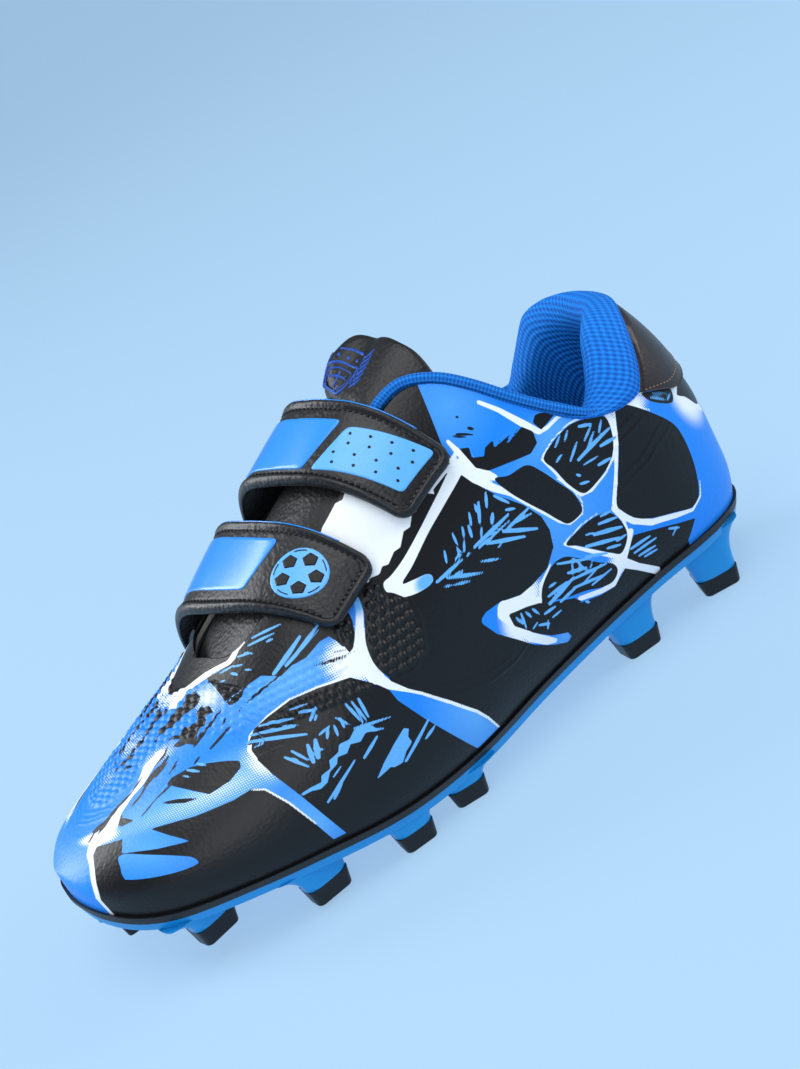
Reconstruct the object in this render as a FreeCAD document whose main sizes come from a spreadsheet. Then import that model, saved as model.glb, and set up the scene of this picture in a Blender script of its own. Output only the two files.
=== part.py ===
import FreeCAD, Part
import Sketcher
import os, math

# Child's moulded-stud football boot, left foot, two hook-and-loop straps.
# Frame: origin under the boot on the ground, toe towards -Y, heel towards +Y,
# lateral (outer) side towards +X, +Z up.  All sizes in millimetres.

V = FreeCAD.Vector
os.makedirs("parts", exist_ok=True)
doc = FreeCAD.newDocument("football_boot")

# ---------------------------------------------------------------- dimensions
sheet = doc.addObject("Spreadsheet::Sheet", "Dimensions")
sheet.Label = "Dimensions"
DIMENSIONS = [
    ("toe_reach", 106.0), ("heel_reach", 109.0), ("toe_round", 46.0), ("heel_round", 32.0),
    ("skin_thick", 1.3), ("backing_thick", 1.3), ("lining_thick", 0.8),
    ("collar_foam_depth", 6.2), ("collar_lining_depth", 7.0),
    ("tongue_sink", 3.4), ("tongue_skin", 1.0), ("tongue_foam", 3.2), ("tongue_lining", 0.8),
    ("tongue_gap", 0.5), ("badge_thick", 0.6), ("tongue_split", 21.0), ("tongue_end", 39.0),
    ("plate_thick", 2.6), ("rand_proud", 0.9), ("rand_tall", 2.6),
    ("board_thick", 1.2), ("insole_thick", 3.2), ("cover_thick", 0.8),
    ("shank_long", 66.0), ("shank_wide", 16.0), ("shank_thick", 1.2),
    ("loop_thick", 0.8), ("hook_thick", 0.8),
    ("band_thick", 1.7), ("panel_thick", 0.5), ("strap_low", 1.1),
    ("strap_corner", 4.0), ("binding_proud", 0.6),
    ("piping_radius", 1.4), ("anchor_thick", 0.9), ("layer_gap", 0.06), ("rand_lift", 0.25),
    ("tip_tall", 5.4), ("tip_taper", 9.0), ("tip_edge", 0.7),
    ("blade_long", 11.0), ("blade_wide", 6.6),
    ("stud_long", 9.4), ("stud_wide", 7.6),
    ("heel_stud_long", 10.6), ("heel_stud_wide", 8.6),
    ("toe_stud_long", 7.0), ("toe_stud_wide", 5.0), ("toe_tip_tall", 3.0),
    ("origin_right", 2.841), ("origin_back", 1.054),
]
for row, (name, value) in enumerate(DIMENSIONS, start=1):
    sheet.set("A%d" % row, name)
    sheet.set("B%d" % row, repr(value))
    sheet.setAlias("B%d" % row, name)
doc.recompute()


def dim(name):
    return float(getattr(sheet, name))


TOE, HEEL = -dim("toe_reach"), dim("heel_reach")
R_TOE, R_HEEL = dim("toe_round"), dim("heel_round")
# The drawing's centre line is moved so that the origin is under the middle of the boot.
TO_ORIGIN = V(-dim("origin_right"), -dim("origin_back"), 0)

# ------------------------------------------------------- form of the boot
# Stations along the boot: place, lateral and medial half width, lateral and
# medial tuck at the feather edge, feather height, widest height, ridge height,
# ridge offset, fullness of the shoulder.
STATIONS = [
    (-106, 37, 34, 2, 2, 26, 30.5, 34, -4, 2.1),
    (-100, 37, 34, 2, 2, 22, 29, 38.5, -5, 2.2),
    (-90, 37, 34, 2, 2, 19.5, 27.5, 43, -5, 2.2),
    (-72, 38, 35, 3, 2, 17.5, 26, 51, -5, 2.1),
    (-50, 41, 37, 3, 3, 15, 25, 61, -4, 2.0),
    (-25, 43, 37, 4, 4, 11.5, 25.5, 77, -4, 2.1),
    (0, 40, 34, 6, 6, 10, 28, 92, -3, 2.15),
    (25, 35, 30, 7, 7, 12, 33, 106, -2, 2.1),
    (50, 32, 28, 6, 6, 15.5, 35, 117, 0, 2.0),
    (75, 30.5, 28, 4, 4, 19, 36, 124, 0, 2.1),
    (95, 29, 28, 3, 3, 19, 37, 128, 0, 2.1),
    (109, 29, 28, 3, 3, 17.5, 37, 128, 0, 2.1),
]


def station(y, column):
    """A column of the station table at y, as a smooth curve through the table."""
    ys = [row[0] for row in STATIONS]
    vs = [row[column] for row in STATIONS]
    i = 0
    while i < len(ys) - 2 and y > ys[i + 1]:
        i += 1
    h = ys[i + 1] - ys[i]
    t = min(max((y - ys[i]) / h, 0.0), 1.0)

    def slope(j):
        a, b = max(j - 1, 0), min(j + 1, len(ys) - 1)
        return (vs[b] - vs[a]) / (ys[b] - ys[a])

    p, q = slope(i) * h, slope(i + 1) * h
    return ((2 * t**3 - 3 * t * t + 1) * vs[i] + (t**3 - 2 * t * t + t) * p
            + (-2 * t**3 + 3 * t * t) * vs[i + 1] + (t**3 - t * t) * q)


def rounding(y, offset):
    """How far the half width is drawn in near the toe and near the heel."""
    f = 1.0
    for reach, radius in ((y - (TOE - offset), R_TOE), ((HEEL + offset) - y, R_HEEL)):
        if reach < radius:
            f *= max(0.0, 1 - ((radius - reach) / radius) ** 2.3) ** (1 / 2.3)
    return f


def centre(y):
    """The toe swings a little to the medial side."""
    t = min(max((-40 - y) / 67.5, 0.0), 1.0)
    return -6.0 * t * t


def lean(y, z):
    """The back of the heel curves forward above and below its fullest height."""
    w = min(max((y - 40) / 69.0, 0.0), 1.0)
    w = w * w * (3 - 2 * w)
    up, down = max(z - 46, 0.0), max(32 - z, 0.0)
    return -(0.0062 * up * up + 0.02 * up + 0.014 * down * down) * w


TUCK = 0.28


def on_form(y, v, offset=0.0):
    """A point of the form: v is 0 at the lateral feather, 0.5 at the ridge, 1 medial."""
    xl, xm, ul, um, zf, zc, zt, xt, n = [station(y, k) for k in range(1, 10)]
    lateral = v <= 0.5
    side = xl + offset if lateral else -xm - offset
    tuck = ul if lateral else -um
    w = 2 * v if lateral else 2 * (1 - v)
    if w < TUCK:
        k = 1 - w / TUCK
        z = zc - (zc - zf) * k
        x = side - tuck * k * k
    else:
        a = (w - TUCK) / (1 - TUCK) * math.pi / 2
        x = xt + (side - xt) * max(math.cos(a), 0.0) ** (2 / n)
        z = zc + (zt + offset - zc) * max(math.sin(a), 0.0) ** (2 / n)
    return V(centre(y) + x * rounding(y, offset), y + lean(y, z), z)


def curve_edge(points, even=False):
    """A smooth curve through points; even spacing keeps the curves of a loft alike."""
    c = Part.BSplineCurve()
    if even:
        last = len(points) - 1
        c.interpolate(Points=points, Parameters=[i / last for i in range(len(points))])
    else:
        c.interpolate(points)
    return c.toShape()


def form_wire(y, offset, below, flat):
    """One cross-section: lateral side, crown, medial side and a straight bottom."""
    rim = 0.46
    start = -below
    steps = 12
    lat = [on_form(y, start + (rim - start) * i / steps, offset) for i in range(steps + 1)]
    med = [on_form(y, 1 - (start + (rim - start) * i / steps), offset) for i in range(steps + 1)]
    a, b = lat[-1], med[-1]
    mid = on_form(y, 0.5, offset)
    if flat:
        mid = (a + b) * 0.5
    else:
        mid = V(mid.x, (a.y + b.y) / 2, mid.z)
    return Part.Wire([curve_edge(lat, True), curve_edge([a, mid, b], True),
                      curve_edge(med[::-1], True), Part.LineSegment(med[0], lat[0]).toShape()])


def station_places(offset):
    toe = [TOE - offset + s for s in (0.06, 0.8, 2.8, 7, 13, 22, 34)]
    heel = [HEEL + offset - s for s in (0.06, 0.7, 2.4, 6, 11.5, 19, 28)]
    return toe + [-58, -42, -25, -8, 9, 25, 40, 55, 69] + heel[::-1]


def form_solid(offset, below=0.0):
    """The whole form as one closed solid, offset from the outside of the upper."""
    places = station_places(offset)
    last = len(places) - 1
    wires = [form_wire(y, offset, below, i in (0, last)) for i, y in enumerate(places)]
    skin = Part.makeLoft(wires, False, False)
    seen = {}
    for face in skin.Faces:
        for edge in face.Edges:
            seen.setdefault(edge.hashCode(), []).append(edge)
    free = [group[0] for group in seen.values() if len(group) == 1]
    caps = []
    for sign in (-1, 1):
        ends = sorted([e for e in free if e.CenterOfMass.y * sign > 0], key=lambda e: e.CenterOfMass.x)
        caps.append(Part.makeRuledSurface(ends[-1], ends[0]))
    shell = Part.makeCompound(skin.Faces + caps)
    shell.sewShape(0.0001)
    solid = Part.makeSolid(shell.Shells[0])
    if solid.Volume < 0:
        solid.reverse()
    return solid


FORMS = {}


def form(offset, below=0.0):
    key = (round(offset, 3), below > 0)
    if key not in FORMS:
        FORMS[key] = form_solid(offset, below)
    return FORMS[key]


DEEP = 0.06
SEAM = dim("layer_gap")


def layer(outer, inner, region=None):
    """The part of a layer that lies in a region; a hair of room keeps it off the next one."""
    body = form(outer) if region is None else form(outer).common(region)
    return body.cut(form(inner + SEAM, DEEP))


# ------------------------------------------------------------ cutting regions
def box(x0, x1, y0, y1, z0, z1):
    return Part.makeBox(x1 - x0, y1 - y0, z1 - z0, V(x0, y0, z0))



def smooth_face(points, closed_with):
    """A face bounded by a smooth curve through points and straight lines through the rest."""
    edges = [curve_edge(points)]
    ring = [points[-1]] + closed_with + [points[0]]
    edges += [Part.LineSegment(a, b).toShape() for a, b in zip(ring, ring[1:])]
    return Part.Face(Part.Wire(edges))


def side_region(points, closed_with):
    face = smooth_face([V(-60, y, z) for y, z in points], [V(-60, y, z) for y, z in closed_with])
    return face.extrude(V(120, 0, 0))


def plan_region(points, closed_with, z0=45, z1=150):
    face = smooth_face([V(x, y, z0) for x, y in points], [V(x, y, z0) for x, y in closed_with])
    return face.extrude(V(0, 0, z1 - z0))


TOPLINE = [(21.5, 95.5), (27, 98.6), (34, 100), (41, 97.5), (48, 92), (56, 84), (64, 76.5), (72, 70),
           (78, 68), (83, 70), (87, 75), (90, 82), (92.3, 88.5), (95.5, 91), (104, 91.5)]
above_topline = side_region(TOPLINE, [(130, 91.5), (130, 160), (21.5, 160)])
THROAT = [(15.5, 30), (16, 21), (19, 4), (19.5, -8), (17.5, -28), (12, -40), (-2, -46),
          (-15, -40), (-21, -28), (-23, -8), (-22.5, 4), (-19, 21), (-18.5, 30)]
throat = plan_region(THROAT, [])
cut_away = above_topline.fuse(throat)
collar_zone = side_region([(40, 92), (47, 80), (57, 67), (70, 56), (86, 50), (112, 47)],
                          [(130, 47), (130, 160), (40, 160)])
front_zone = box(-70, 70, -130, -38, -10, 160)
SPLIT_X = -2.0


def lateral_zone(y0, y1):
    return box(SPLIT_X, 70, y0, y1, -10, 160)


def medial_zone(y0, y1):
    return box(-70, SPLIT_X, y0, y1, -10, 160)


def half_space(point, normal, reach=260.0):
    """A large box filling the side of a plane that the normal points away from."""
    b = Part.makeBox(reach, reach, reach, V(-reach / 2, -reach / 2, -reach))
    n = V(normal).normalize()
    b.Placement = FreeCAD.Placement(point, FreeCAD.Rotation(V(0, 0, 1), n))
    return b


def plane_of(a, b, c, inside):
    n = (b - a).cross(c - a)
    if n.dot(inside - a) > 0:
        n = n * -1
    return half_space(a, n)


# ----------------------------------------------------------------- sub-parts
PARTS = []
LABELS = set()


def check(obj):
    state = [s for s in obj.State if s in ("Invalid", "Error")]
    if state:
        raise RuntimeError("%s is %s" % (obj.Label, state))
    if obj.Shape.isNull() or not obj.Shape.isValid():
        raise RuntimeError("%s has a bad shape" % obj.Label)


def add_shape(label, shape):
    """A free-form piece: its Shape is set, then its Placement."""
    solids = [s for s in shape.Solids if s.Volume > 0.5]
    if not solids:
        raise RuntimeError("%s is empty" % label)
    shape = solids[0] if len(solids) == 1 else Part.makeCompound(solids)
    obj = doc.addObject("Part::Feature", label)
    obj.Label = label
    obj.Shape = shape
    obj.Placement = FreeCAD.Placement(TO_ORIGIN, FreeCAD.Rotation())
    PARTS.append(obj)
    LABELS.add(label)
    return obj


skin_d = -dim("skin_thick")
backing_d = skin_d - dim("backing_thick")
lining_d = backing_d - dim("lining_thick")
foam_d, collar_d = -dim("collar_foam_depth"), -dim("collar_lining_depth")

# Upper: one skin, split where its panels meet.
skin = layer(0.0, skin_d).cut(cut_away)
add_shape("vamp", skin.common(front_zone))
add_shape("lateral_quarter", skin.common(lateral_zone(-38, 130)))
add_shape("medial_quarter", skin.common(medial_zone(-38, 130)))

# Stiffeners and foam under the skin.
backing = layer(skin_d, backing_d).cut(cut_away).cut(collar_zone)
facing_plan = plan_region([(x * 1.55 + 0.6, y * 1.05 + 1) for x, y in THROAT], [])
add_shape("toe_puff", backing.common(box(-70, 70, -130, -76, -10, 160)))
add_shape("vamp_backing", backing.common(box(-70, 70, -76, -38, -10, 160)))
quarter_backing = backing.common(box(-70, 70, -38, 62, -10, 160))
facings = quarter_backing.common(facing_plan)
plain = quarter_backing.cut(facing_plan)
add_shape("lateral_facing", facings.common(lateral_zone(-38, 62)))
add_shape("medial_facing", facings.common(medial_zone(-38, 62)))
add_shape("lateral_backing", plain.common(lateral_zone(-38, 62)))
add_shape("medial_backing", plain.common(medial_zone(-38, 62)))
add_shape("heel_counter", backing.common(box(-70, 70, 62, 130, -10, 160)))
lining = layer(backing_d, lining_d).cut(cut_away).cut(collar_zone)
add_shape("vamp_lining", lining.common(box(-70, 70, -130, -10, -10, 160)))
add_shape("quarter_lining", lining.common(box(-70, 70, -10, 130, -10, 160)))
in_collar = collar_zone.cut(above_topline)
add_shape("collar_foam", layer(skin_d, foam_d, in_collar))
add_shape("collar_lining", layer(foam_d, collar_d, in_collar))
add_shape("heel_tab", layer(0.8, 0.0, box(-40, 40, 84, 130, 60, 160).cut(above_topline)))


# Topline piping on both sides, from the strap to the collar.
def wall_point(y, z, offset, lateral):
    """The point of the form at a given y and height, on one side."""
    v0, v1 = (0.02, 0.49) if lateral else (0.98, 0.51)
    at = y
    for _ in range(3):
        at = y - lean(at, z)
    for _ in range(40):
        mid = (v0 + v1) / 2
        if on_form(at, mid, offset).z < z:
            v0 = mid
        else:
            v1 = mid
    return on_form(at, (v0 + v1) / 2, offset)


def swept_rod(points, radius):
    path = Part.Wire([curve_edge(points)])
    start = path.Edges[0].valueAt(path.Edges[0].FirstParameter)
    along = path.Edges[0].tangentAt(path.Edges[0].FirstParameter)
    ring = Part.Wire([Part.Circle(start, along, radius).toShape()])
    return path.makePipeShell([ring], True, True)


def topline_height(y):
    for (y0, z0), (y1, z1) in zip(TOPLINE, TOPLINE[1:]):
        if y0 <= y <= y1:
            return z0 + (z1 - z0) * (y - y0) / (y1 - y0)


r_piping = dim("piping_radius")
for name, is_lateral in (("lateral_piping", True), ("medial_piping", False)):
    rod = []
    for y in (23.5, 28, 34, 41, 48, 56, 64, 71):
        slope = (topline_height(y + 1) - topline_height(y - 1)) / 2.0
        clear = (r_piping + 0.45) / math.hypot(1.0, slope)
        rod.append(wall_point(y - slope * clear, topline_height(y) + clear, -1.6, is_lateral))
    add_shape(name, swept_rod(rod, r_piping))


# ------------------------------------------------------------- inside the boot
def slab(z0, z1, wide=60.0):
    """A sheet that follows the feather line, between two heights above it."""
    wires = []
    for i in range(24):
        y = -112 + i * 226 / 23.0
        z = station(min(max(y, TOE), HEEL), 5)
        ring = [V(-wide, y, z + z0), V(wide, y, z + z0), V(wide, y, z + z1), V(-wide, y, z + z1)]
        wires.append(Part.makePolygon(ring + [ring[0]]))
    return Part.makeLoft(wires, True, False)


b, t, c = dim("board_thick"), dim("insole_thick"), dim("cover_thick")
inside = form(lining_d - SEAM)
low = dim("rand_lift")
add_shape("lasting_board", inside.common(slab(low, b)))
add_shape("insole_foam", inside.common(slab(b + SEAM, b + t)))
add_shape("insole_cover", inside.common(slab(b + t + SEAM, b + t + c)))
add_shape("sole_rand", layer(dim("rand_proud"), 0.0, slab(low, dim("rand_tall"))))

# ------------------------------------------------------------------- outsole
# Studs: name, x, y, turn, kind, height of the tread end above the ground.
STUDS = [
    ("toe", 3, -96, 0, "toe", 11.0),
    ("lateral_1", 22, -80, 16, "blade", 6.4), ("lateral_2", 31, -51, 8, "blade", 1.6),
    ("lateral_3", 33, -25, 0, "stud", 0.0), ("lateral_4", 30, -6.5, -8, "stud", 0.0),
    ("medial_1", -27, -79, -16, "blade", 6.4), ("medial_2", -30, -51, -6, "blade", 1.6),
    ("medial_3", -28.5, -25, 0, "stud", 0.0), ("medial_4", -24, -6.5, 8, "stud", 0.0),
    ("heel_lateral_1", 18, 58, 0, "heel", 0.0), ("heel_lateral_2", 15.5, 88, -14, "heel", 0.0),
    ("heel_medial_1", -16.5, 58, 0, "heel", 0.0), ("heel_medial_2", -14.5, 88, 14, "heel", 0.0),
]
KIND = {"toe": ("toe_stud_long", "toe_stud_wide", "toe_tip_tall"),
        "blade": ("blade_long", "blade_wide", "tip_tall"),
        "stud": ("stud_long", "stud_wide", "tip_tall"),
        "heel": ("heel_stud_long", "heel_stud_wide", "tip_tall")}
TIP_GROW = 2 * math.tan(math.radians(dim("tip_taper")))


def rounded_ring(x, y, z, long, wide, turn):
    """A rounded rectangle, long side along the boot, as a closed smooth wire."""
    pts = []
    power = 2.0 / 3.6
    for i in range(24):
        a = 2 * math.pi * i / 24
        p = math.copysign(abs(math.cos(a)) ** power, math.cos(a)) * wide / 2
        q = math.copysign(abs(math.sin(a)) ** power, math.sin(a)) * long / 2
        s, k = math.sin(math.radians(turn)), math.cos(math.radians(turn))
        pts.append(V(x + p * k - q * s, y + p * s + q * k, z))
    curve = Part.BSplineCurve()
    curve.interpolate(Points=pts, PeriodicFlag=True, Parameters=[i / 24.0 for i in range(25)])
    return Part.Wire([curve.toShape()])


def plate_section(y, grow, z0, z1, draw):
    z = station(y, 5)
    lat, med = on_form(y, 0.0, 0.0), on_form(y, 1.0, 0.0)
    ring = [V(med.x - grow, lat.y, z + z1), V(lat.x + grow, lat.y, z + z1),
            V(lat.x + grow - draw, lat.y, z + z0), V(med.x - grow + draw, lat.y, z + z0)]
    return Part.makePolygon(ring + [ring[0]])


plate_t = dim("plate_thick")
plate_places = [TOE + s for s in (0.25, 1, 2.6, 5.5, 10, 17, 26)] + [-66, -50, -36, -22, -8, 6, 20, 34, 48,
                60, 71] + [HEEL - s for s in (28, 20, 13, 8, 4.2, 2, 0.7, 0.2)]
plate = Part.makeLoft([plate_section(y, 0.5, -plate_t, 0.0, 1.0 if 2 < i < 23 else 0.3)
                       for i, y in enumerate(plate_places)], True, False)
for name, x, y, turn, kind, low in STUDS:
    long, wide, tall = [dim(k) for k in KIND[kind]]
    z0 = low + tall
    top = station(y, 5) - plate_t * 0.5
    long, wide = long + TIP_GROW * tall, wide + TIP_GROW * tall
    rise = max(top - z0, 1.0)
    rings = [rounded_ring(x, y, z0, long, wide, turn),
             rounded_ring(x, y, z0 + 0.45 * rise, long * 1.14, wide * 1.08, turn),
             rounded_ring(x * 0.985, y, z0 + 0.8 * rise, long * 1.5, wide * 1.2, turn),
             rounded_ring(x * 0.97, y, z0 + rise, long * 2.0, wide * 1.32, turn)]
    plate = plate.fuse(Part.makeLoft(rings, True, False))
plate = plate.cut(form(0.0))
sw, sl, st = dim("shank_wide"), dim("shank_long"), dim("shank_thick")
shank_room = slab(-st, 0.0).common(box(-sw / 2 - 1, sw / 2 - 1, 12 - sl / 2, 12 + sl / 2, 0, 60))
add_shape("outsole_plate", plate.cut(shank_room))
add_shape("shank", shank_room)


def origin_plane(body, role):
    for feature in body.Origin.OriginFeatures:
        if feature.Role == role:
            return feature


def stud_tip(name, x, y, turn, kind, low):
    """A tapered stud tip: a padded rectangle with rounded sides and tread edge."""
    long, wide, tall = KIND[kind]
    body = doc.addObject("PartDesign::Body", "tip_" + name)
    body.Label = "tip_" + name
    sketch = body.newObject("Sketcher::SketchObject", "outline_" + name)
    sketch.AttachmentSupport = (origin_plane(body, "XY_Plane"), [""])
    sketch.MapMode = "FlatFace"
    p, q = dim(wide) / 2, dim(long) / 2
    corners = [V(-p, -q, 0), V(p, -q, 0), V(p, q, 0), V(-p, q, 0)]
    for i in range(4):
        sketch.addGeometry(Part.LineSegment(corners[i], corners[(i + 1) % 4]), False)
    for i in range(4):
        sketch.addConstraint(Sketcher.Constraint("Coincident", i, 2, (i + 1) % 4, 1))
    sketch.addConstraint(Sketcher.Constraint("Horizontal", 0))
    sketch.addConstraint(Sketcher.Constraint("Horizontal", 2))
    sketch.addConstraint(Sketcher.Constraint("Vertical", 1))
    sketch.addConstraint(Sketcher.Constraint("Vertical", 3))
    sketch.addConstraint(Sketcher.Constraint("Symmetric", 0, 1, 1, 2, -1, 1))
    i = sketch.addConstraint(Sketcher.Constraint("DistanceX", 0, 1, 0, 2, 2 * p))
    sketch.renameConstraint(i, "wide")
    sketch.setExpression("Constraints.wide", "Dimensions.%s" % wide)
    i = sketch.addConstraint(Sketcher.Constraint("DistanceY", 1, 1, 1, 2, 2 * q))
    sketch.renameConstraint(i, "long")
    sketch.setExpression("Constraints.long", "Dimensions.%s" % long)
    doc.recompute()
    pad = body.newObject("PartDesign::Pad", "pad_" + name)
    pad.Profile = sketch
    pad.setExpression("Length", "Dimensions.%s" % tall)
    pad.setExpression("TaperAngle", "Dimensions.tip_taper")
    doc.recompute()
    if pad.Shape.BoundBox.XLength < dim(wide) + 0.1:
        raise RuntimeError("the tip does not widen upwards")
    upright = []
    for i, edge in enumerate(pad.Shape.Edges, start=1):
        a, b2 = edge.Vertexes[0].Point, edge.Vertexes[-1].Point
        if abs(a.z - b2.z) > 1:
            upright.append("Edge%d" % i)
    fillet = body.newObject("PartDesign::Fillet", "round_" + name)
    fillet.Base = (pad, upright)
    fillet.Radius = 1.9 if kind != "toe" else 1.2
    doc.recompute()
    low_edges = []
    for i, edge in enumerate(fillet.Shape.Edges, start=1):
        if edge.BoundBox.ZMax < 0.01:
            low_edges.append("Edge%d" % i)
    edge_round = body.newObject("PartDesign::Fillet", "tread_" + name)
    edge_round.Base = (fillet, low_edges)
    edge_round.setExpression("Radius", "Dimensions.tip_edge")
    body.Tip = edge_round
    doc.recompute()
    body.Placement = FreeCAD.Placement(V(x, y, low) + TO_ORIGIN, FreeCAD.Rotation(V(0, 0, 1), turn))
    PARTS.append(body)


for stud in STUDS:
    stud_tip(*stud)

# -------------------------------------------------------------------- tongue
sink = -dim("tongue_sink")
t1 = sink - dim("tongue_skin")
t2 = t1 - dim("tongue_foam")
t3 = t2 - dim("tongue_lining")
split, end = dim("tongue_split"), dim("tongue_end")
TONGUE_LOW = [(21, split), (25, 4), (25.5, -8), (23, -28), (15, -44), (-2, -51),
              (-18, -44), (-27, -28), (-29, -8), (-28.5, 4), (-24, split)]
tongue_low = plan_region(TONGUE_LOW, [])
TONGUE_TOP = [(8.6, split + 1.3), (9.6, 24.5), (10.0, 29), (11.0, 34), (11.2, 37), (8.5, end), (3, end + 1),
              (-4, end + 1), (-8.5, end), (-10.7, 37), (-10.6, 33), (-10.2, 28), (-9.9, 24.5), (-8.6, split + 1.3)]
tongue_top = plan_region(TONGUE_TOP, [])
gap = dim("tongue_gap")
add_shape("tongue_lower_skin", layer(sink, t1, tongue_low))
add_shape("tongue_lower_foam", layer(t1, t2, tongue_low))
add_shape("tongue_lower_lining", layer(t2, t3, tongue_low))
add_shape("tongue_upper_skin", layer(sink - gap, t1, tongue_top))
add_shape("tongue_upper_foam", layer(t1, t2, tongue_top))
add_shape("tongue_upper_lining", layer(t2, t3, tongue_top))
badge = plan_region([(5, 26), (6.5, 31), (3.5, 35.5), (-0.5, 37), (-4.5, 35.5), (-8, 31), (-6.5, 26)], [])
add_shape("tongue_badge", layer(sink - gap + dim("badge_thick"), sink - gap, badge))


# -------------------------------------------------------------------- straps
def normal_at(y, v, offset):
    a = on_form(y + 1, v, offset) - on_form(y - 1, v, offset)
    b3 = on_form(y, v + 0.01, offset) - on_form(y, v - 0.01, offset)
    n = a.cross(b3)
    if n.dot(on_form(y, v, offset) - V(0, y, 40)) < 0:
        n = n * -1
    return n.normalize()


def strap_region(front, rear, out=0.0, inner_end=0.0, outer_end=0.0, corner=0.0):
    """The space of a strap between its front and rear edge.

    front and rear each hold (y, v) at the medial end, on the crown and at the
    lateral free end.  out moves both edges outwards; inner_end and outer_end move
    the two ends along the strap."""
    f = [on_form(y, v, 2.5) for y, v in front]
    r = [on_form(y, v, 2.5) for y, v in rear]
    mid = (f[1] + r[1]) * 0.5
    across = (r[1] - f[1]).normalize()
    f = [p - across * out for p in f]
    r = [p + across * out for p in r]
    region = plane_of(f[0], f[1], f[2], mid).common(plane_of(r[0], r[1], r[2], mid))
    for k, shift in ((0, inner_end), (2, outer_end)):
        (y0, v0), (y1, v1) = front[k], rear[k]
        n = normal_at((y0 + y1) / 2, (v0 + v1) / 2, 2.5)
        along = (r[k] - f[k]).normalize()
        away = along.cross(n)
        if away.dot(f[k] - mid) < 0:
            away = away * -1
        away.normalize()
        at = (f[k] + r[k]) * 0.5 + away * shift
        region = region.common(half_space(at, away))
    if corner:
        keep = []
        for edge in region.Edges:
            c0 = edge.CenterOfMass
            near = [edge.distToShape(Part.Vertex(p))[0] for p in (f[2], r[2])]
            if min(near) < 3.0 and edge.Length > 20:
                keep.append(edge)
        if keep:
            region = region.makeFillet(corner, keep)
    return region


STRAPS = {
    "upper": (((-12, 0.70), (-6.5, 0.50), (12.5, 0.30)), ((9.5, 0.70), (13.6, 0.50), (33, 0.287))),
    "lower": (((-43, 0.72), (-38, 0.50), (-17, 0.298)), ((-22, 0.72), (-17.3, 0.50), (0, 0.303))),
}
low = dim("strap_low")
hook_top = low + dim("hook_thick")
band_top = hook_top + dim("band_thick")
panel_top = band_top + dim("panel_thick")
for name, (front, rear) in STRAPS.items():
    whole = strap_region(front, rear, corner=dim("strap_corner"))
    inset = strap_region(front, rear, out=-1.9, outer_end=-1.9, inner_end=2.0)
    add_shape(name + "_strap_band", layer(band_top, hook_top, whole))
    add_shape(name + "_strap_binding", layer(band_top + dim("binding_proud"), band_top, whole.cut(inset)))
    # hook and loop under the free end
    lateral_part = box(21.5, 70, -60, 60, 30, 160)
    add_shape(name + "_strap_hook", layer(hook_top, low, inset.common(lateral_part)))
    add_shape(name + "_loop_patch", layer(dim("loop_thick"), 0.0,
                                          strap_region(front, rear, out=-1.0).common(lateral_part)))
    root = strap_region(front, rear, out=0.4, inner_end=7.0)
    add_shape(name + "_strap_root", layer(dim("anchor_thick"), 0.0, root.cut(throat)
                                          .common(box(-70, -2, -60, 60, 30, 160))))
    panels = strap_region(front, rear, out=-2.2, outer_end=-2.4, inner_end=-5.0)
    near_end = box(4.0, 70, -80, 80, 30, 160) if name == "upper" else box(10.0, 70, -80, 80, 30, 160)
    far_end = box(-70, 2.5, -80, 80, 30, 160) if name == "upper" else box(-70, 8.5, -80, 80, 30, 160)
    add_shape(name + "_strap_panel", layer(panel_top, band_top, panels.common(far_end)))
    if name == "upper":
        add_shape("upper_strap_mesh", layer(panel_top, band_top, panels.common(near_end)))
    else:
        spot = on_form(-15, 0.373, band_top)
        n = normal_at(-15, 0.373, band_top)
        disc = Part.makeCylinder(8.0, 12, spot - n * 6, n)
        add_shape("lower_strap_emblem", layer(panel_top, band_top, disc))

doc.recompute()
os.makedirs("parts", exist_ok=True)
for obj in doc.Objects:
    if [s for s in obj.State if s in ("Invalid", "Error")]:
        raise RuntimeError("%s is in state %s" % (obj.Name, obj.State))
for obj in PARTS:
    check(obj)
for obj in PARTS:
    obj.Shape.exportStep("parts/%s.step" % obj.Label)
print(len(PARTS), "pieces")
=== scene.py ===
import math
import bmesh
import bpy
import numpy as np
from mathutils import Matrix, Vector

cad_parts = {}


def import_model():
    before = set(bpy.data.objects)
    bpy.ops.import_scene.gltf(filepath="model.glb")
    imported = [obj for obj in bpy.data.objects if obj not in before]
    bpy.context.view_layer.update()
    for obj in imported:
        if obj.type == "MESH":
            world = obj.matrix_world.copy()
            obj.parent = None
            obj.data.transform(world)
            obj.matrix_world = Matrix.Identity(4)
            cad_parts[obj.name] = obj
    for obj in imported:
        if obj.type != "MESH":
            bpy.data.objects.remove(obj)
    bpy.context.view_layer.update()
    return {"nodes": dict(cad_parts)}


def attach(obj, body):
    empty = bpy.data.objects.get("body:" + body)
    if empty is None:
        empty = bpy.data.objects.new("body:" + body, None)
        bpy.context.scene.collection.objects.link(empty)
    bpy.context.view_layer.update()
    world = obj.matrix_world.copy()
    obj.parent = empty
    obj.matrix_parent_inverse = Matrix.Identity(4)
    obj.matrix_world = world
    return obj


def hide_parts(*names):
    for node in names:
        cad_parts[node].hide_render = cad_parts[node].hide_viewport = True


# Visual model of a child's left football boot with two hook-and-loop straps.
# Working units are millimetres on the boot's own centre line; world() turns them
# into metres in the shared frame.

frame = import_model()
SHIFT = np.array([-2.841, -1.054, 0.0])


def world(points):
    return (np.asarray(points, float) + SHIFT) * 0.001


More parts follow.
